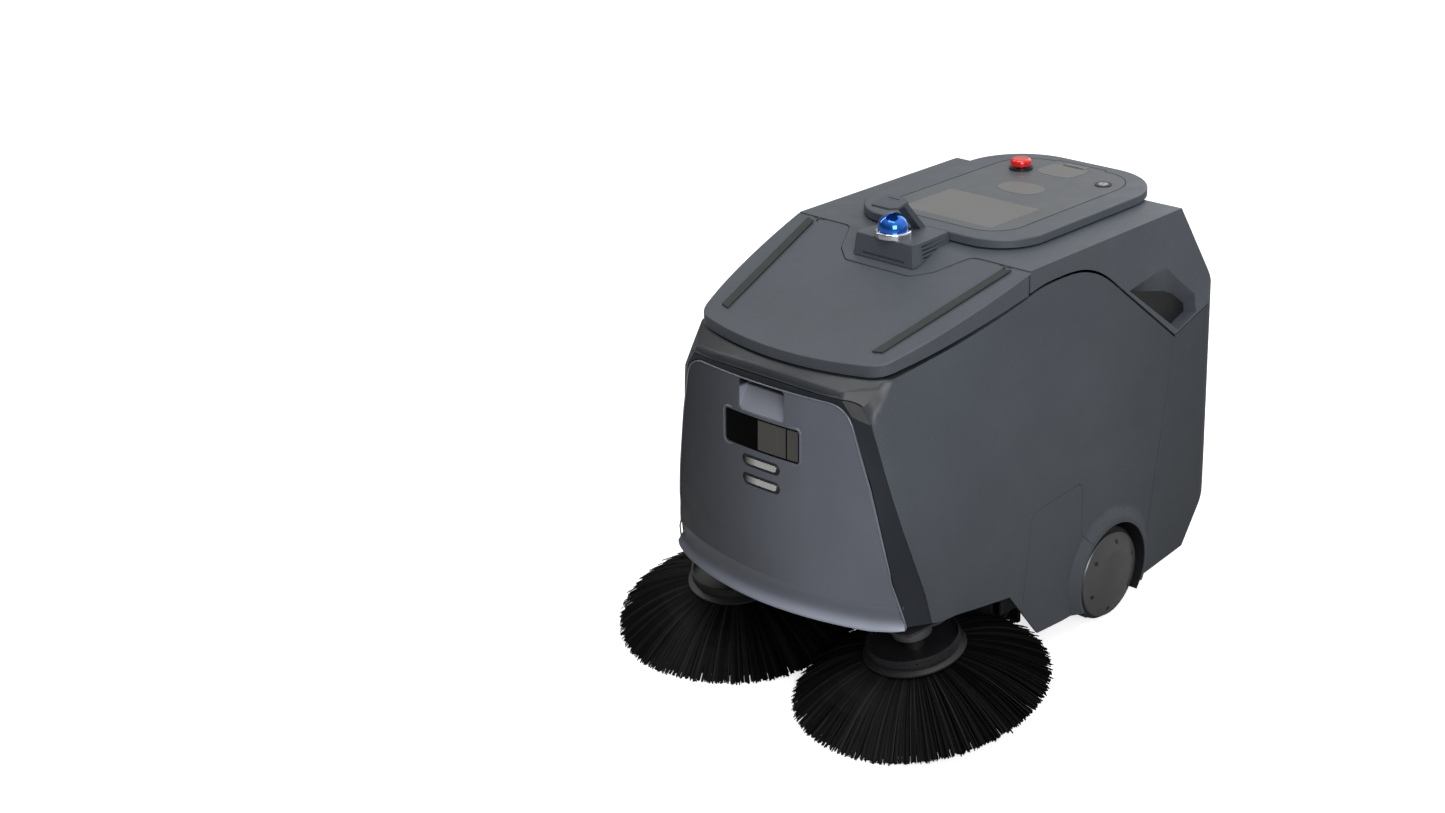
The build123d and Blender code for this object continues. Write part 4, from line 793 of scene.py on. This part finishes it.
# Holes in the cap's sloping rim, drawn as dark discs of painted shade: how many, their turn in hole
# spacings, place, radius and tilt.
HOLES, HOLE_PHASE, HOLE_CORNERS = 6, 0.35, 16
HOLE_X, HOLE_R, HOLE_TILT = 0.27362, 0.064, math.radians(20.3)
HOLE_RADIUS, HOLE_FOOT, HOLE_LIFT = 0.0042, -0.0015, 0.0003


def wheel_cap(side, word):
    """A cap with a flat middle, a sloping rim and six small holes in the rim, the holes drawn as dark discs
    of painted shade.
    """
    low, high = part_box(f"{word}_hub_cap")
    axle = (low.z + high.z) / 2
    verts = []
    for x, radius in CAP_RINGS:
        for turn in range(CAP_TURNS):
            a = math.tau * turn / CAP_TURNS
            verts.append(Vector((side * x, radius * math.cos(a), axle + radius * math.sin(a))))
    faces = tube(len(CAP_RINGS), CAP_TURNS)
    cap = piece(f"{word}_wheel_cap", verts, faces, f"{word}_wheel", "hub_metal", smooth=30)
    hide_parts(f"{word}_hub_cap")
    verts, faces = [], []
    for hole in range(HOLES):
        a = math.tau * (hole + HOLE_PHASE) / HOLES
        radial = Vector((0, math.cos(a), math.sin(a)))
        round_way = Vector((0, -math.sin(a), math.cos(a)))
        normal = Vector((side * math.cos(HOLE_TILT), 0, 0)) + radial * math.sin(HOLE_TILT)
        along = normal.cross(round_way)
        middle = Vector((side * HOLE_X, 0, axle)) + radial * HOLE_R
        faces += tube(2, HOLE_CORNERS, len(verts))
        for lift in (HOLE_FOOT, HOLE_LIFT):
            for corner in range(HOLE_CORNERS):
                b = math.tau * corner / HOLE_CORNERS
                offset = round_way * math.cos(b) * HOLE_RADIUS + along * math.sin(b) * HOLE_RADIUS
                verts.append(middle + normal * lift + offset)
    # dark discs where the holes are: painted shade
    piece(f"{word}_cap_holes", verts, faces, f"{word}_wheel", "painted_gap_shade", smooth=30)


for side, word in SIDES:
    wheel_well(side, word)
for side, word in SIDES:
    wheel_cap(side, word)

# ---------------------------------------------------------------- camera, floor and light
CAMERA_PLACE = (2.2975, -2.8943, 1.8161)
CAMERA_AZIMUTH, CAMERA_ELEVATION = math.radians(40.75), math.radians(23.28)
LENS, SENSOR, SHIFT_X, SHIFT_Y = 53.94, 36.0, -0.1332, 0.0405
camera_data = bpy.data.cameras.new("camera")
camera_data.lens = LENS
camera_data.sensor_width = SENSOR
camera_data.shift_x, camera_data.shift_y = SHIFT_X, SHIFT_Y
camera = bpy.data.objects.new("camera", camera_data)
bpy.context.scene.collection.objects.link(camera)
camera.location = CAMERA_PLACE
back = Vector((math.sin(CAMERA_AZIMUTH) * math.cos(CAMERA_ELEVATION),
               -math.cos(CAMERA_AZIMUTH) * math.cos(CAMERA_ELEVATION), math.sin(CAMERA_ELEVATION)))
camera.rotation_mode = "QUATERNION"
camera.rotation_quaternion = (-back).to_track_quat("-Z", "Y")
bpy.context.scene.camera = camera

FLOOR = 30.0
FLOOR_GLOW, FLOOR_ALBEDO = 0.72, 0.8
corners = [(-FLOOR, -FLOOR, 0), (FLOOR, -FLOOR, 0), (FLOOR, FLOOR, 0), (-FLOOR, FLOOR, 0)]
floor_mesh = bpy.data.meshes.new("floor")
floor_mesh.from_pydata(corners, [], [(0, 1, 2, 3)])
floor = bpy.data.objects.new("floor", floor_mesh)
bpy.context.scene.collection.objects.link(floor)
floor_finish = Finish("floor_paint", colour=(0.3, 0.3, 0.3), rough=0.9, edge=0, cloud=0.01,
                      bump=0.00005, bevel=0)
floor_mesh.materials.append(floor_finish.mat)


def brighten_for_camera(finish, glow, albedo):
    """The floor looks near white to the camera, and mid grey to every other ray."""
    path = finish.node("ShaderNodeLightPath")
    lit = finish.node("ShaderNodeBsdfDiffuse", Color=(albedo, albedo, albedo, 1))
    emission = finish.node("ShaderNodeEmission", Strength=glow)
    both = finish.node("ShaderNodeAddShader")
    choose = finish.node("ShaderNodeMixShader")
    finish.link(lit.outputs[0], both.inputs[0])
    finish.link(emission.outputs[0], both.inputs[1])
    finish.link(path.outputs["Is Camera Ray"], choose.inputs["Fac"])
    finish.link(finish.shader.outputs[0], choose.inputs[1])
    finish.link(both.outputs[0], choose.inputs[2])
    finish.link(choose.outputs[0], finish.tree.nodes["Material Output"].inputs["Surface"])


brighten_for_camera(floor_finish, FLOOR_GLOW, FLOOR_ALBEDO)

TARGET = Vector((0, -0.1, 0.45))
# Soft boxes aimed at the target: name, place, width, height, power in watts.
SOFT_BOXES = (("top_box", (0.3, -0.9, 3.5), 2.4, 2.4, 44), ("right_box", (2.9, -2.3, 1.7), 1.8, 1.6, 66),
              ("back_box", (-0.6, 3.8, 2.4), 3.0, 3.0, 26), ("rim_strip", (-2.6, -0.6, 2.4), 0.5, 2.6, 12))
for name, place, width, height, power in SOFT_BOXES:
    light = bpy.data.lights.new(name, "AREA")
    light.energy = power
    light.shape = "RECTANGLE"
    light.size = width
    light.size_y = height
    lamp = bpy.data.objects.new(name, light)
    bpy.context.scene.collection.objects.link(lamp)
    lamp.location = place
    lamp.rotation_euler = (TARGET - Vector(place)).to_track_quat("-Z", "Y").to_euler()

# Studio surroundings, brightest overhead and behind: direction, cosines of the lobe's rim and core,
# and gain.
LOBES = (((0, 0, 1), 0.2, 0.95, 0.55),
         ((0.1, 0.97, 0.2), 0.1, 1.0, 0.5),
         ((0.96, -0.2, 0.15), 0.35, 1.0, 0.25))
BASE = 0.05
world = bpy.data.worlds.new("studio")
world.use_nodes = True
bpy.context.scene.world = world
sky = world.node_tree
background = sky.nodes["Background"]
direction = sky.nodes.new("ShaderNodeTexCoord").outputs["Generated"]
total = None
for way, low, high, gain in LOBES:
    dot = sky.nodes.new("ShaderNodeVectorMath")
    dot.operation = "DOT_PRODUCT"
    dot.inputs[1].default_value = Vector(way).normalized()
    sky.links.new(direction, dot.inputs[0])
    lobe = sky.nodes.new("ShaderNodeMapRange")
    lobe.interpolation_type = "SMOOTHSTEP"
    for key, value in (("From Min", low), ("From Max", high), ("To Min", 0.0), ("To Max", gain)):
        lobe.inputs[key].default_value = value
    sky.links.new(dot.outputs["Value"], lobe.inputs["Value"])
    add = sky.nodes.new("ShaderNodeMath")
    add.inputs[0].default_value = BASE
    if total is not None:
        sky.links.new(total, add.inputs[0])
    sky.links.new(lobe.outputs["Result"], add.inputs[1])
    total = add.outputs[0]
path = sky.nodes.new("ShaderNodeLightPath")
seen = sky.nodes.new("ShaderNodeMix")
sky.links.new(path.outputs["Is Camera Ray"], seen.inputs["Factor"])
sky.links.new(total, seen.inputs[VALUE_A])
seen.inputs[VALUE_B].default_value = 1.0
sky.links.new(seen.outputs[0], background.inputs["Strength"])
background.inputs["Color"].default_value = (1, 1, 1, 1)
bpy.context.scene.view_settings.view_transform = "Standard"
